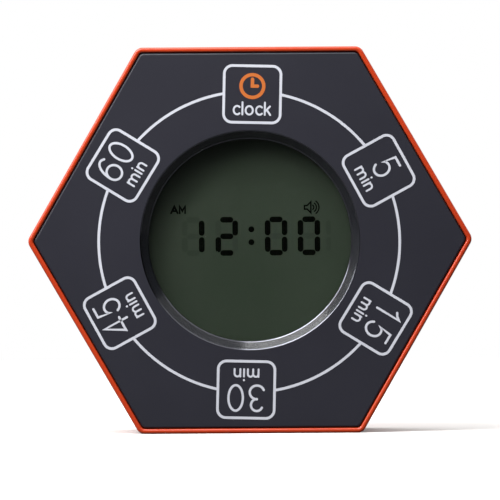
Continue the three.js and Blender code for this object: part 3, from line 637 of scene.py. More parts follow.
def finishPiece(name, bm, body, slot, stands=(), material=None, sharp=35):
    # puts a drawn shape in its place on the timer and gives it its finish; sharp 0 leaves it flat
    bmesh.ops.remove_doubles(bm, verts=bm.verts, dist=1e-5)
    bmesh.ops.dissolve_degenerate(bm, dist=1e-5, edges=bm.edges)
    bm.transform(toRow)
    bm.normal_update()
    bm.verts.index_update()
    bm.faces.index_update()
    bm.faces.ensure_lookup_table()
    count = 0
    for face in bm.faces:
        face.smooth = sharp > 0
        for loop in face.loops:
            loop.index = count
            count += 1
    normals = cornerNormals(bm, sharp) if sharp else None
    mesh = meshOf(name, bm)
    if normals:
        mesh.normals_split_custom_set(normals)
    obj = newObject(name, mesh)
    if not mesh.materials:
        mesh.materials.append(material or finishes[slot])
    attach(obj, body)
    if stands:
        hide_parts(*stands)
    return obj


# The CAD nodes that stay get their finish and a smooth surface

slotOf = {part["node"]: part["material_slot"] for part in frame["record"]["subparts"]}
sharpAngle = 0.62  # radians; edges that turn further than this stay sharp


def dressNodes():
    for name, obj in frame["nodes"].items():
        obj.data.materials.clear()
        obj.data.materials.append(finishes[slotOf[name]])
        step = obj.modifiers.new("smooth", "NODES")
        step.node_group = smoothByAngle
        step[socketId(smoothByAngle, "Angle")] = sharpAngle
    for name in ("window_lens", "lcd_front_glass", "lcd_rear_glass"):
        frame["nodes"][name].visible_shadow = False


dressNodes()
print("nodes dressed")

# Face plate

plate = {
    "edgeRound": 0.45,
    "backRound": 0.2,
    "cornerRadius": 1.3,
    "thickness": 2.4,
    "mouthRadius": 25.25,
    "mouthRound": 0.5,
    "throatRadius": 23.6,
    "wallFoot": 2.45,  # depth of the wall's foot below the face
    "footRound": 0.3,
    "skirtInset": 2.5,
    "skirtDepth": 3.0,
    "skirtWall": 1.2,
    "collarWall": 1.9,
    "seatGap": 0.3,
    "lensGap": 0.35,
    "sunk": 0.3,  # how far the shapes on its back run into it
    "caseBoss": (3.2, 1.4),  # radius, and the radius of its screw's hole
    "boardBoss": (2.7, 1.05),
}


def wellProfile():
    # the window's wall, from in front of the face down to behind the lens
    beyond = 3
    top, foot = plateFront, plateFront - plate["wallFoot"]
    mouth, bend = plate["mouthRadius"], plate["mouthRound"]
    low, footBend = plate["throatRadius"], plate["footRound"]
    points = [(0, top + beyond), (mouth + bend, top + beyond), (mouth + bend, top)]
    for i in range(1, 8):
        turn = math.radians(90 - 10 * i)
        points.append((mouth + bend * (1 - math.cos(turn)), top - bend * (1 - math.sin(turn))))
    points.append((low + footBend * 1.2, foot + footBend))
    for i in range(1, 5):
        turn = math.radians(20 * i)
        points.append((low + footBend * 1.2 * (1 - math.sin(turn)), foot + footBend * (math.cos(turn) - 0.2)))
    return points + [(low, foot - 0.1), (low, lensLow[2] - 2), (0, lensLow[2] - 2)]


def paintWell(body, lensSeat):
    # 1 is the well's wall and 2 the polished rounds at its two ends
    mouth = plate["mouthRadius"] + plate["mouthRound"]
    for face in body.faces:
        centre = face.calc_center_median()
        radius = math.hypot(centre.x, centre.y)
        inWell = radius < mouth - 0.01 and centre.z > lensSeat and abs(face.normal.z) < 0.985
        onEdge = centre.z > plateFront - plate["mouthRound"] * 0.5 or radius < plate["throatRadius"] + 0.2
        face.material_index = (2 if onEdge else 1) if inWell else 0


def makeFacePlate():
    back = plateFront - plate["thickness"]
    root = back + plate["sunk"]
    outline = lambda inset: hexagon(plateHigh[1] - inset, plate["cornerRadius"] - inset * 0.6)
    slab = softPrism(outline, back, plateFront, plate["backRound"], plate["edgeRound"], 6)
    skirtHalf, foot = halfFlats - plate["skirtInset"], back - plate["skirtDepth"]
    outside, inside = hexagon(skirtHalf, 1), hexagon(skirtHalf - plate["skirtWall"], 0.8)
    skirt = loft([(outside, root), (outside, foot), (inside, foot), (inside, root)], closed=True)
    seatRadius = lensHigh[0] + plate["seatGap"]
    collarEnd, lensSeat = lensLow[2] - plate["seatGap"], lensHigh[2] + plate["lensGap"]
    joined = [skirt, prism(circle(seatRadius + plate["collarWall"]), collarEnd, root)]
    removed = [lathe(wellProfile(), 128), prism(circle(seatRadius), collarEnd - 3, lensSeat)]
    boardFront = span("main_board")[1][2] + 0.1
    for prefix, count, sizes, low in (("case_screw_", 6, plate["caseBoss"], plateLow[2]),
                                      ("board_screw_", 4, plate["boardBoss"], boardFront)):
        tip = span(prefix + "1")[1][2] + 0.2
        joined += [prism(circle(sizes[0], 32, x, y), low, root) for x, y in spots(prefix, count)]
        removed += [prism(circle(sizes[1], 24, x, y), plateLow[2] - 5, tip) for x, y in spots(prefix, count)]
    body = carve(slab, joined, removed)
    paintWell(body, lensSeat)
    obj = finishPiece("facePlate", body, "housing", "charcoal_plastic", ["front_bezel"], sharp=32)
    obj.data.materials.append(wellFinish)
    obj.data.materials.append(edgeFinish)


makeFacePlate()
print("face plate made")

# Window

window = {"edgeRound": 0.15}


def makeWindow():
    outline = lambda inset: circle(lensHigh[0] - inset, 128)
    bm = softPrism(outline, lensLow[2], lensHigh[2], window["edgeRound"], window["edgeRound"], 3)
    obj = finishPiece("windowDisc", bm, "housing", "window", ["window_lens"], sharp=50)
    obj.visible_shadow = False


makeWindow()

# Rear case

shell = {
    "cornerRadius": 2.2,
    "rimWidth": 1.15,
    "rimOuterRound": 0.55,
    "rimInnerRound": 0.5,
    "rearRound": 1.6,
    "wall": 2.2,
    "plateSeat": 2.7,
    "sunk": 0.4,  # how far inner walls run into the rear wall
    "towerRadius": 3.6,
    "towerHeight": 16.0,
    "towerSeat": 2.2,
    "screwWell": 2.8,
    "screwHole": 1.55,
    "keyBoss": (2.2, 1.05),  # radius, and the radius of its screw's hole
    "holeBreak": 0.3,  # small round at the mouth of each hole in the back
    "keyRecess": 0.8,
    "recessHalf": 5.4,
    "recessCorner": 2.4,
    "recessEnds": (6, 0.9),  # past the knob's middle, and past the last button
    "keyHole": 3.7,
    "thumbHole": (4.3, 1.9),
    "thumbCorner": 0.6,
}
bay = {
    "wall": 2.4,
    "roof": 1.3,
    "gap": 0.3,
    "doorEdge": 1.6,  # from the bay's side to the door's edge
    "hookReach": 1.8,  # how far the door's hooks stand past its edge
    "seatDepth": 1.75,
    "seatSide": 1.9,  # from the bay's ends to the seat's
    "seatCorner": 1.3,
    "hookHalf": 3.3,
    "hookPocket": (3.4, 3.2),  # how far past the bay, and how deep
    "nailRadius": 5.3,
}
sounder = {"wall": 1.6, "shelf": 0.9, "chamber": 1.8, "slots": 5, "slotStep": 3.2, "slotHalf": 0.7,
           "reach": 8.2}


def mouthed(outlineAt, low, high, flare):
    # a cutter whose hole opens a little where it meets the outside at z = low
    rings = [(outlineAt(flare), low - 1.0)]
    rings += [(outlineAt(flare - inset), low + flare - down) for inset, down in reversed(roundOver(flare, 4))]
    return loft(rings + [(outlineAt(0), high)])


def makeShell():
    outer = lambda inset: hexagon(halfFlats - inset, max(shell["cornerRadius"] - inset * 0.6, 0.3))
    lip = lambda inset: hexagon(halfFlats - shell["rimWidth"] + inset, 1.2)
    rings = [(outer(inset), down) for inset, down in reversed(roundOver(shell["rearRound"], 10))]
    rings += [(outer(inset), depth - down) for inset, down in roundOver(shell["rimOuterRound"], 7)]
    rings += [(lip(inset), depth - down) for inset, down in reversed(roundOver(shell["rimInnerRound"], 5))]
    cavity, seat = hexagon(halfFlats - shell["wall"], 1), depth - shell["plateSeat"]
    return loft(rings + [(lip(0), seat), (cavity, seat), (cavity, shell["wall"])])


def bayParts():
    # half its width, its middle height, half its height, and how deep it is
    low, high = span("battery_door")
    x, y = high[0] - bay["doorEdge"], (low[1] + high[1] - bay["hookReach"]) / 2
    halfY = high[1] - bay["hookReach"] - y - bay["doorEdge"] + bay["gap"]
    return x, y, halfY, span("battery_cell_1")[1][2] + bay["gap"]


def bayShapes(floor):
    halfX, y, halfY, roof = bayParts()
    side, wall, seat = bay["wall"], shell["wall"], halfY + bay["doorEdge"]
    joined = [block(-halfX - side, halfX + side, y - halfY - side, y + halfY + side, floor,
                    roof + bay["roof"])]
    removed = [block(-halfX, halfX, y - halfY, y + halfY, -1, roof)]
    rebate = lambda e: roundedBox(halfX + bay["seatSide"] + e, seat + e, bay["seatCorner"] + e, 0, y)
    removed.append(mouthed(rebate, 0, bay["seatDepth"], 0.2))
    nail = [(0, -2), (bay["nailRadius"], -2), (bay["nailRadius"] - 0.3, 0.25), (4.6, 1.2), (0, 1.2)]
    removed.append(lathe(nail, 48, 0, y - seat - 0.2))
    half, inside = bay["hookHalf"], y + halfY - 1
    past, deep = bay["hookPocket"]
    for x in (-halfX / 2, halfX / 2):
        removed.append(block(x - half, x + half, inside, y + halfY + past, wall, wall + deep))
        removed.append(block(x - half, x + half, inside, y + seat, 0.75, wall + 1))
    return joined, removed


def sounderShapes(floor):
    low, high = span("buzzer_plate")
    y, radius, shelf = spot("buzzer_plate")[1], high[0], low[2] - 0.1
    top = shelf + sounder["chamber"] + 0.7
    joined = [prism(circle(radius + sounder["wall"], 64, 0, y), floor, top)]
    removed = [prism(circle(radius + 0.3, 64, 0, y), shelf, shelf + 6),
               prism(circle(radius - sounder["shelf"], 64, 0, y), shell["wall"], shelf + 1)]
    for i in range(sounder["slots"]):
        up, tall = (i - (sounder["slots"] - 1) / 2) * sounder["slotStep"], sounder["slotHalf"]
        half = math.sqrt(sounder["reach"] ** 2 - up ** 2)
        outline = lambda e: roundedBox(half + e, tall + e, tall - 0.01 + e, 0, y + up, 5)
        removed.append(mouthed(outline, 0, shell["wall"] + 0.6, 0.25))
    return joined, removed


def keyHoles():
    # the recess round the keys, then the volume knob's slot and the three round holes
    keyY, knobX = spot("minute_button")[1], spot("volume_knob")[0]
    left, right = knobX - shell["recessEnds"][0], span("set_button")[1][0] + shell["recessEnds"][1]
    recess = lambda e: roundedBox((right - left) / 2 + e, shell["recessHalf"] + e, shell["recessCorner"] + e,
                                  (left + right) / 2, keyY, 8)
    halfX, halfY = shell["thumbHole"]
    thumb = lambda e: roundedBox(halfX + e, halfY + e, shell["thumbCorner"] + e, knobX, keyY, 6)
    low, high = shell["keyRecess"], shell["wall"] + 1
    removed = [mouthed(recess, 0, low, 0.3), mouthed(thumb, low, high, 0.12)]
    for name in ("minute", "hour", "set"):
        x = spot(name + "_button")[0]
        removed.append(mouthed(lambda e: circle(shell["keyHole"] + e, 48, x, keyY), low, high, 0.15))
    return removed


def makeRearCase():
    floor = shell["wall"] - shell["sunk"]
    bayJoined, bayRemoved = bayShapes(floor)
    sounderJoined, sounderRemoved = sounderShapes(floor)
    joined, removed = bayJoined + sounderJoined, bayRemoved + sounderRemoved
    seat, top = shell["towerHeight"] - shell["towerSeat"], shell["towerHeight"]
    for x, y in spots("case_screw_", 6):
        joined.append(prism(circle(shell["towerRadius"], 40, x, y), floor, top))
        well = lambda e: circle(shell["screwWell"] + e, 40, x, y)
        removed.append(mouthed(well, 0, seat, shell["holeBreak"]))
        removed.append(prism(circle(shell["screwHole"], 24, x, y), 1, top + 1))
    boardBack = span("key_board")[0][2]
    bossRadius, pilot = shell["keyBoss"]
    for x, y in spots("key_board_screw_", 2):
        joined.append(prism(circle(bossRadius, 32, x, y), floor, boardBack - 0.1))
        removed.append(prism(circle(pilot, 20, x, y), 3, boardBack + 1))
    body = carve(makeShell(), joined, removed + keyHoles())
    finishPiece("rearCase", body, "housing", "orange_plastic", ["rear_case"], sharp=34)


makeRearCase()
print("rear case made")

# Printed scale

scale = {
    "turn": -1.55,  # the print sits a touch clockwise of the case
    "centre": (-0.17, -0.42),
    "ringRadius": 35.05,
    "line": 0.62,
    "tileRadius": 34.4,
    "tileHalf": 6.6,
    "tileCorner": 1.95,
    "digitHeight": 5.94,
    "digitWidth": 3.36,
    "digitGap": 1.48,
    "digitLine": 0.54,
    "digitFoot": -1.0,
    "wordLine": 0.44,
    "wordFoot": -4.75,
    "wordHeight": 1.72,
    "clockWord": 1.14,  # the top tile's word against the others
    "thickness": 0.03,
    "dialRadius": 2.65,
    "dialLine": 0.8,
    "dialCentre": 1.9,
}


def digitStrokes(digit):
    # lines of a digit in a box 1 high and 1 wide
    shapes = {
        "0": [arc(0.5, 0.5, 0.5, 0.5, 0, 360, 44)],
        "1": [[(0.12, 0.78), (0.34, 0.86), (0.52, 1.0), (0.52, 0.0)]],
        "3": [arc(0.47, 0.765, 0.40, 0.235, 155, -90, 22),
              arc(0.47, 0.27, 0.5, 0.27, 90, -158, 26)],
        "4": [[(0.74, 0.0), (0.74, 1.0), (0.0, 0.27), (1.0, 0.27)]],
        "5": [[(0.9, 1.0), (0.24, 1.0), (0.12, 0.50)] + arc(0.47, 0.315, 0.48, 0.315, 128, -155, 26)],
        "6": [arc(0.5, 0.31, 0.5, 0.31, 0, 360, 36),
              arc(0.62, 0.31, 0.62, 0.69, 180, 62, 22)],
    }
    return shapes[digit]


def wordStrokes(word):
    # lines of each letter with a middle height of 1, set from left to right
    letters = {
        "m": (1.46, [[(0, 0), (0, 1)], [(0, 0.6)] + arc(0.36, 0.62, 0.36, 0.38, 175, 0, 10) + [(0.72, 0)],
                     [(0.72, 0.6)] + arc(1.08, 0.62, 0.36, 0.38, 175, 0, 10) + [(1.44, 0)]]),
        "i": (0.0, [[(0, 0), (0, 1)], [(0, 1.45), (0, 1.5)]]),
        "n": (0.78, [[(0, 0), (0, 1)], [(0, 0.58)] + arc(0.39, 0.6, 0.39, 0.4, 175, 0, 10) + [(0.78, 0)]]),
        "c": (0.66, [arc(0.42, 0.5, 0.42, 0.5, 48, 312, 20)]),
        "l": (0.0, [[(0, 0), (0, 1.45)]]),
        "o": (0.86, [arc(0.43, 0.5, 0.43, 0.5, 0, 360, 24)]),
        "k": (0.64, [[(0, 0), (0, 1.45)], [(0.6, 1.0), (0.05, 0.42)], [(0.24, 0.6), (0.64, 0)]]),
    }
    strokes, x = [], 0.0
    gap = 0.5 if word == "min" else 0.38
    for letter in word:
        width, lines = letters[letter]
        strokes += [[(px + x, py) for px, py in line] for line in lines]
        x += width + gap
    return strokes, x - gap


def makeScale():
    low, high = plateFront + 0.004, plateFront + scale["thickness"]
    step = 0.001  # strokes that cross lie at slightly different heights
    parts = []
    cx, cy = scale["centre"]
    place = lambda points, angle: turnedBy(points, angle + scale["turn"] - 90, cx, cy)
    outward = lambda points: moved(points, 0, scale["tileRadius"])
    half, line, ring = scale["tileHalf"], scale["line"], scale["ringRadius"]
    # the ring stops where it meets the tiles
    halfAngle = math.degrees(math.asin((half + 0.1) / ring))
    for i in range(6):
        start = 90 - 60 * i + halfAngle
        points = arc(0, 0, ring, ring, start, start + 60 - 2 * halfAngle, 40)
        parts.append(ribbon(turnedBy(points, scale["turn"], cx, cy), line, low, high, roundEnds=False))
    wide, tall, gap = scale["digitWidth"], scale["digitHeight"], scale["digitGap"]
    for i, label in enumerate(["clock", "5", "15", "30", "45", "60"]):
        angle = 90 - 60 * i
        tile = outward(roundedBox(half, half, scale["tileCorner"], steps=10))
        parts.append(ribbon(place(tile, angle), line, low, high + 2 * step, closed=True))
        digits = label if label.isdigit() else ""
        for j, digit in enumerate(digits):
            left = (wide + gap) * j - (wide * len(digits) + gap * (len(digits) - 1)) / 2
            for k, stroke in enumerate(digitStrokes(digit)):
                points = outward([(left + x * wide, scale["digitFoot"] + y * tall) for x, y in stroke])
                parts.append(ribbon(place(points, angle), scale["digitLine"], low, high + 2 * step * k))
        strokes, length = wordStrokes("min" if digits else "clock")
        size = scale["wordHeight"] * (1 if digits else scale["clockWord"])
        for k, stroke in enumerate(strokes):
            points = outward([((x - length / 2) * size, scale["wordFoot"] + y * size) for x, y in stroke])
            parts.append(ribbon(place(points, angle), scale["wordLine"], low, high + step * k))
    finishPiece("printedScale", merge(*parts), "housing", "charcoal_plastic", material=printFinish, sharp=0)
    radius = scale["dialRadius"]
    lines = [arc(0, 0, radius, radius, 0, 360, 48), [(0, radius * 0.6), (0, 0), (radius * 0.45, 0)]]
    dial = [ribbon(place(outward(moved(points, 0, scale["dialCentre"])), 90), scale["dialLine"], low,
                   high + 2 * step * i) for i, points in enumerate(lines)]
    finishPiece("printedDial", merge(*dial), "housing", "charcoal_plastic", material=dialFinish, sharp=0)


makeScale()
print("scale printed")

# Display segments

display = {
    "rowUp": 0.93,  # the digits' middle above the window's
    "digitX": (-13.25, -5.41, 6.14, 13.82),
    "reachX": 1.98,
    "reachY": 3.88,
    "bar": 1.34,
    "uprightHalf": 1.1,
    "levelHalf": 0.86,
    "colonX": 0.35,
    "colonUp": 1.5,
    "dot": 0.7,
    "thickness": 0.03,
    # painted shadow: two faint bars right of the last digit stand in for its segments' drop shadow; where
    # they stand and how wide they are
    "shadowBarsX": 18.4,
    "shadowBarWidth": 1.072,
    "signAt": (-16.78, 6.42),
    "signLine": 0.44,
    "hornAt": (14.5, 7.6),
    "hornLine": 0.36,
    "waveLine": 0.32,
}
segmentsLit = {"1": "bc", "2": "abged", "0": "abcdef"}


def segmentLines(x):
    w, h = display["reachX"], display["reachY"]
    u, v = display["uprightHalf"], display["levelHalf"]
    y = display["rowUp"]
    upright = lambda sx, sy: [(x + sx * w, y + sy * h / 2 - u), (x + sx * w, y + sy * h / 2 + u)]
    level = lambda sy: [(x - v, y + sy * h), (x + v, y + sy * h)]
    return {"a": level(1), "b": upright(1, 1), "c": upright(1, -1), "d": level(-1),
            "e": upright(-1, -1), "f": upright(-1, 1), "g": level(0)}


def makeSegments():
    front = span("front_polarizer")[1][2]
    low, high = front + 0.005, front + display["thickness"]
    lit, faint = [], []
    for x, digit in zip(display["digitX"], "1200"):
        for name, line in segmentLines(x).items():
            target = lit if name in segmentsLit[digit] else faint
            target.append(ribbon(line, display["bar"], low, high))
    # painted shadow: the last digit's right-hand bars drawn again further right, in the faint tone, as its
    # drop shadow
    paintedShadowBars = segmentLines(display["shadowBarsX"] - display["reachX"])
    faint += [ribbon(paintedShadowBars[name], display["shadowBarWidth"], low, high) for name in "bc"]
    for up in (display["colonUp"], -display["colonUp"]):
        dot = circle(display["dot"], 24, display["colonX"], display["rowUp"] + up + 0.1)
        lit.append(prism(dot, low, high))
    letters = [[(-1.62, 0), (-0.86, 1.55), (-0.1, 0)], [(-1.3, 0.5), (-0.4, 0.5)],
               [(0.38, 0), (0.38, 1.55), (1.02, 0.5), (1.66, 1.55), (1.66, 0)]]
    lit += [ribbon(moved(line, *display["signAt"]), display["signLine"], low, high) for line in letters]
    x, y = display["hornAt"]
    horn = [(-1.7, -0.42), (-1.05, -0.42), (-0.2, -1.3), (-0.2, 1.3), (-1.05, 0.42), (-1.7, 0.42)]
    lit.append(ribbon(moved(horn, x, y), display["hornLine"], low, high, closed=True))
    lit += [ribbon(arc(x - 0.1, y, radius, radius, -52, 52, 12), display["waveLine"], low, high)
            for radius in (0.6, 1.2, 1.8)]
    finishPiece("litSegments", merge(*lit), "housing", "display_film", material=segmentFinish, sharp=0)
    # the unlit segments together with the painted shadow bars
    finishPiece("unlitSegmentsAndPaintedShadow", merge(*faint), "housing", "display_film", material=unlitSegmentAndShadowFinish, sharp=0)


makeSegments()
print("display made")

# Back: battery door, buttons, volume knob and screws

lid = {
    "thickness": 1.5,
    "set": 0.15,  # how far its face lies behind the case's
    "round": 0.3,
    "corner": 1.0,
    "hookHalf": 3,
    "hookBack": 3.1,  # where it starts, inside the panel's edge
    "hookNose": 1.3,  # where its tip starts to bend, past the edge
    "hookRise": 2.5,
    "hookThickness": 0.9,
    "ribHeight": 1.5,
    "latchHeight": 1.7,
    "latchHalf": 4,
    "ridgeHalf": 6,
    "ridgeCount": 6,
    "ridgeStep": 1.15,
}


def makeDoor():
    low, high = span("battery_door")
    bayX, bayY, bayHalfY, _ = bayParts()
    halfX, halfY = high[0], (high[1] - bay["hookReach"] - low[1]) / 2
    face, back = lid["set"], lid["set"] + lid["thickness"]
    outline = lambda inset: roundedBox(halfX - inset, halfY - inset, max(lid["corner"] - inset, 0.2), 0, bayY)
    panel = softPrism(outline, face, back, lid["round"], 0.1, 5)
    root, edge = back - 0.4, bayY + halfY
    half, rise, top = lid["hookHalf"], lid["hookRise"], lid["hookRise"] + lid["hookThickness"]
    start, nose = edge - lid["hookBack"], edge + lid["hookNose"]
    tip = [(start, rise), (nose, rise), (nose + 0.5, rise + 0.35), (nose + 0.2, top), (start, top)]
    joined = []
    for x in (-bayX / 2, bayX / 2):
        joined.append(block(x - half, x + half, start, start + 1.4, root, top))
        tongue = loft([(tip, x - half), (tip, x + half)])
        tongue.transform(Matrix(((0, 0, 1, 0), (1, 0, 0, 0), (0, 1, 0, 0), (0, 0, 0, 1))))
        joined.append(tongue)
    joined.append(block(-bayX * 0.8, bayX * 0.8, bayY - 0.6, bayY + 0.6, root, back + lid["ribHeight"]))
    latchY = bayY - bayHalfY + 0.75
    joined.append(block(-lid["latchHalf"], lid["latchHalf"], latchY, latchY + 1, root,
                        back + lid["latchHeight"]))
    groove = softPrism(lambda i: roundedBox(lid["ridgeHalf"] - i, 0.34 - i * 0.9, 0.3 - i * 0.8, 0,
                                            low[1] + 2.0, 4), -0.5, 0.5, 0, 0.16, 3)
    grooves = grown(rowOfCopies, groove, Count=lid["ridgeCount"], Step=(0, lid["ridgeStep"], 0))
    arrow = prism([(-2.2, low[1] + 10.4), (2.2, low[1] + 10.4), (0, low[1] + 12.8)], -0.5, 0.4)
    body = carve(panel, joined, [grooves, arrow])
    finishPiece("batteryLid", body, "door", "orange_plastic", ["battery_door"], sharp=34)


button = {"top": 0.36, "dish": 0.14, "round": 0.5, "collar": 1.1, "collarLow": 2.3, "collarHigh": 3.3,
          "stem": 1.5}


def makeButtons():
    rnd, low, high = button["round"], button["collarLow"], button["collarHigh"]
    for name in ("minute", "hour", "set"):
        near, far = span(name + "_button")
        wide = (far[0] - near[0]) / 2
        radius = wide - button["collar"]
        rim = radius - rnd - 0.05
        profile = [(0, button["top"])]
        profile += [(r, button["top"] - button["dish"] * (r / rim) ** 2) for r in (0.6, 1.2, 1.8, 2.4, rim)]
        for turn in (math.radians(a) for a in (15, 35, 55, 75, 90)):
            profile.append((radius - rnd + rnd * math.sin(turn), 0.72 - rnd * math.cos(turn)))
        profile += [(radius, low), (wide - 0.1, low), (wide, low + 0.1), (wide, high - 0.1),
                    (wide - 0.1, high), (button["stem"], high), (button["stem"], far[2]), (0, far[2])]
        finishPiece(name + "Cap", lathe(profile, 56, *spot(name + "_button")), name + "_button",
                    "charcoal_plastic", [name + "_button"], sharp=30)


knob = {"half": (2, 1.6), "corner": 0.45, "flangeHalf": 2.5, "flangeAt": 2.3, "socketHalf": 1.3,
        "ribs": 4, "ribStep": 0.94, "ribWidth": 0.42}


def makeKnob():
    low, high = span("volume_knob")
    x, y = spot("volume_knob")
    halfX, halfY = knob["half"]
    thumb = softPrism(lambda i: roundedBox(halfX - i, halfY - i, max(knob["corner"] - i, 0.1), x, y, 5),
                      0.2, knob["flangeAt"] + 0.2, 0.25, 0, 4)
    flange = softPrism(lambda i: roundedBox((high[0] - low[0]) / 2 - i, knob["flangeHalf"] - i, 0.4, x, y, 5),
                       knob["flangeAt"], high[2], 0.1, 0.1, 2)
    hole, leverEnd = knob["socketHalf"], span("volume_lever")[0][2]
    socket = block(x - hole, x + hole, y - hole, y + hole, leverEnd - 0.3, high[2] + 1)
    rib = block(x - 1.62, x - 1.62 + knob["ribWidth"], y - 2, y + 2, -0.4, 0.5)
    ribs = grown(rowOfCopies, rib, Count=knob["ribs"], Step=(knob["ribStep"], 0, 0))
    body = carve(thumb, [flange], [socket, ribs])
    finishPiece("volumeKnob", body, "volume", "charcoal_plastic", ["volume_knob"], sharp=34)


screw = {"headRadius": 2.4, "headHeight": 1.7, "shank": 1.25, "thread": 0.25, "length": 8.0, "pitch": 0.9,
         "slotHalf": 0.32}


def makeCaseScrews():
    low, high = span("case_screw_1")
    head, tall, shank = screw["headRadius"], screw["headHeight"], screw["shank"]
    seat, core = low[2] + tall, shank - screw["thread"]
    profile = [(0, low[2])]
    for turn in (math.radians(a) for a in (20, 40, 60, 75, 90)):
        profile.append((head * math.sin(turn), low[2] + tall * 0.75 * (1 - math.cos(turn))))
    profile += [(head, seat - 0.1), (head - 0.1, seat), (core, seat)]
    z = seat + 0.5
    while z < seat + screw["length"] - 1.8:
        profile += [(core, z), (shank, z + 0.3), (core, z + 0.6)]
        z += screw["pitch"]
    reach, half = head * 0.6, screw["slotHalf"]
    slots = [block(-x, x, -y, y, low[2] - 1, low[2] + tall * 0.6) for x, y in ((reach, half), (half, reach))]
    one = carve(lathe(profile + [(0, high[2])], 40), [], slots)
    ring = grown(ringOfCopies, one, Count=6, Radius=math.hypot(*spot("case_screw_1")))
    finishPiece("caseScrews", ring, "housing", "steel", ["case_screw_%d" % (i + 1) for i in range(6)],
                sharp=30)


makeDoor()
makeButtons()
makeKnob()
makeCaseScrews()
print("back made")

# Cells and the springs that hold them

cell = {"nub": 1.9, "nubHeight": 0.9, "bandStart": 33.0}


def makeCells():
    nub, band = cell["nub"], cell["bandStart"]
    for name, towards in (("battery_cell_1", 1), ("battery_cell_2", -1)):
        low, high = span(name)
        length, radius = high[0] - low[0], (high[2] - low[2]) / 2
        shoulder = length - cell["nubHeight"]
        profile = [(0, 0.15), (radius * 0.62, 0.15), (radius * 0.68, 0), (radius - 0.45, 0),
                   (radius - 0.12, 0.12), (radius, 0.4), (radius, band), (radius, shoulder - 0.5),
                   (radius - 0.12, shoulder - 0.2), (radius - 0.5, shoulder - 0.1),
                   (radius - 1, shoulder - 0.1), (radius - 1.2, shoulder - 0.4), (nub, shoulder - 0.4),
                   (nub, length - 0.3), (nub - 0.1, length - 0.09), (nub - 0.3, length), (0, length)]
        bm = lathe(profile, 64)
        layer = bm.verts.layers.float.new("band")
        for vert in bm.verts:
            vert[layer] = 1.0 if vert.co.z > band + 0.01 else 0.0
        start = low[0] if towards > 0 else high[0]
        bm.transform(Matrix.Translation((start, spot(name)[1], (low[2] + high[2]) / 2))
                     @ Matrix.Rotation(math.pi / 2 * towards, 4, "Y"))
        finishPiece(name + "_sleeve", bm, "housing", "cell_jacket", [name], sharp=30)


contact = {"coilHeight": 3.16, "coilWide": 3.465, "coilNarrow": 2.205, "plate": 0.4, "plateHalf": 4.2,
           "tabHalf": 1.2}


def makeContacts():
    low, high = span("battery_cell_1")
    cellZ, upperY, lowerY = (low[2] + high[2]) / 2, spot("battery_cell_1")[1], spot("battery_cell_2")[1]
    half = contact["plateHalf"]
    for name, sign, springY in (("negative_contact", 1, upperY), ("bridge_contact", -1, lowerY)):
        low, high = span(name)
        wall = low[0] if sign > 0 else high[0]
        inner = wall + sign * contact["plate"]
        x0, x1 = min(wall, inner), max(wall, inner)
        seed = lathe([(0, 0), (0.1, 0.05), (0, 0.1)], 6)
        coil = grown(coilOfWire, seed, Wide_Radius=contact["coilWide"], Narrow_Radius=contact["coilNarrow"],
                     Height=contact["coilHeight"])
        coil.transform(Matrix.Translation((inner + sign * 0.22, springY, cellZ))
                       @ Matrix.Rotation(math.pi / 2 * sign, 4, "Y"))
        if sign > 0:
            tab = contact["tabHalf"]
            parts = [coil, block(x0, x1, upperY - half, upperY + half, cellZ - half, cellZ + half),
                     block(x0 + 0.001, x1 - 0.001, upperY - tab, upperY + tab, cellZ + half, high[2])]
        else:
            dimple = lathe([(0, -0.1), (3, -0.1), (2.6, 0.25), (1.9, 0.7), (1.6, 0.8), (0, 0.8)], 32)
            dimple.transform(Matrix.Translation((inner, upperY, cellZ))
                             @ Matrix.Rotation(-math.pi / 2, 4, "Y"))
            parts = [coil, block(x0, x1, low[1], high[1], cellZ - half, cellZ + half), dimple]
        finishPiece(name.replace("_contact", "Contact"), merge(*parts), "housing", "nickel", [name], sharp=30)


makeCells()
makeContacts()
print("cells and contacts made")

# Stage and lights

stage = {
    "floorRadius": 0.8,
    "floorBounce": "3c3c3e",  # what the floor gives back to the timer
    "sunStrength": 2.6,
    "sunSpread": 130,  # degrees
    "sunTilt": (6, -8),
    "skyToCamera": 1.0,
    "skyInFront": 0.015,
    "skyBehind": 0.9,
}
lights = {
    "overheadBox": {"size": (0.25, 0.2), "power": 1.15, "location": (-0.10, -0.14, 0.28), "along": (1, 0, 0)},
    "keyStrip": {"size": (0.9, 0.12), "power": 4.6, "location": (-0.52, -0.5, 0.6), "along": (1, 0, 1)},
    "sideBox": {"size": (0.8, 0.8), "power": 1.5, "location": (-0.75, 0.1, 0.3), "along": (0, 1, 0)},
}


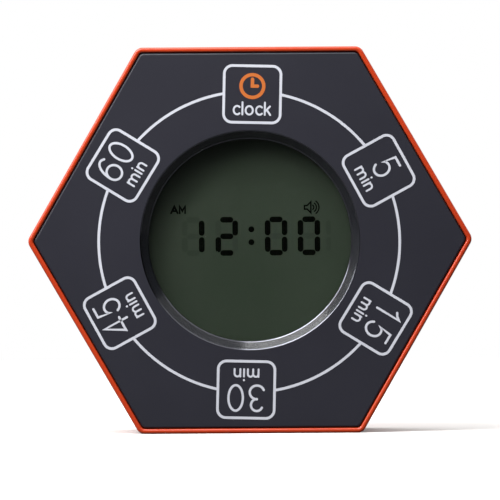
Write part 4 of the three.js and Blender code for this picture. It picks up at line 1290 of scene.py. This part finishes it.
def makeStage():
    mesh = meshOf("floor", prism(circle(stage["floorRadius"] / mm, 96), -1, 0))
    mesh.transform(Matrix.Scale(mm, 4))
    floor = newObject("floor", mesh)
    material = surface("paleFloor", "f2f1ef", "f6f5f3", rough=(0.7, 0.8), grain=4, blotch=200, bump=0)
    tree = material.node_tree
    shader = tree.nodes["Principled BSDF"]
    bright = shader.inputs["Base Color"].links[0].from_socket
    path = addNode(tree, "ShaderNodeLightPath")
    seen = mixColour(tree, path.outputs["Is Camera Ray"], linear(stage["floorBounce"]), bright)
    tree.links.new(seen, shader.inputs["Base Color"])
    mesh.materials.append(material)


def makeLight(name, size, power, location, along):
    # a softbox that faces the timer, with its long side turned to a direction
    data = bpy.data.lights.new(name, "AREA")
    data.shape, data.size, data.size_y, data.energy = "RECTANGLE", size[0], size[1], power
    lamp = bpy.data.objects.new(name, data)
    bpy.context.scene.collection.objects.link(lamp)
    away = (Vector(location) - Vector((0, 0, middle))).normalized()
    side = Vector(along)
    side = (side - away * side.dot(away)).normalized()
    up = away.cross(side)
    lamp.matrix_world = Matrix.Translation(location) @ Matrix((side, up, away)).transposed().to_4x4()


def makeSun():
    data = bpy.data.lights.new("sun", "SUN")
    data.energy, data.angle = stage["sunStrength"], math.radians(stage["sunSpread"])
    lamp = bpy.data.objects.new("sun", data)
    bpy.context.scene.collection.objects.link(lamp)
    lamp.rotation_euler = (*map(math.radians, stage["sunTilt"]), 0)


def makeSky():
    # white to the camera; what the timer sees is bright behind it and dim in front
    world = bpy.data.worlds.new("sky")
    bpy.context.scene.world = world
    world.use_nodes = True
    tree = world.node_tree
    place = addNode(tree, "ShaderNodeTexCoord").outputs["Generated"]
    parts = addNode(tree, "ShaderNodeSeparateXYZ", {0: place})
    ramp = addNode(tree, "ShaderNodeMapRange",
                   {"Value": parts.outputs["Y"], "From Min": -0.1, "From Max": 0.6,
                    "To Min": stage["skyInFront"], "To Max": stage["skyBehind"]},
                   interpolation_type="SMOOTHSTEP")
    camera = addNode(tree, "ShaderNodeLightPath").outputs["Is Camera Ray"]
    seen = mathNode(tree, "MULTIPLY", camera, stage["skyToCamera"])
    back = tree.nodes["Background"]
    back.inputs["Color"].default_value = (1, 1, 1, 1)
    tree.links.new(mathNode(tree, "MAXIMUM", seen, ramp.outputs[0]), back.inputs["Strength"])


makeStage()
makeSky()
makeSun()
for name, values in lights.items():
    makeLight(name, **values)
bpy.context.scene.view_settings.view_transform = "Standard"
print("stage lit")
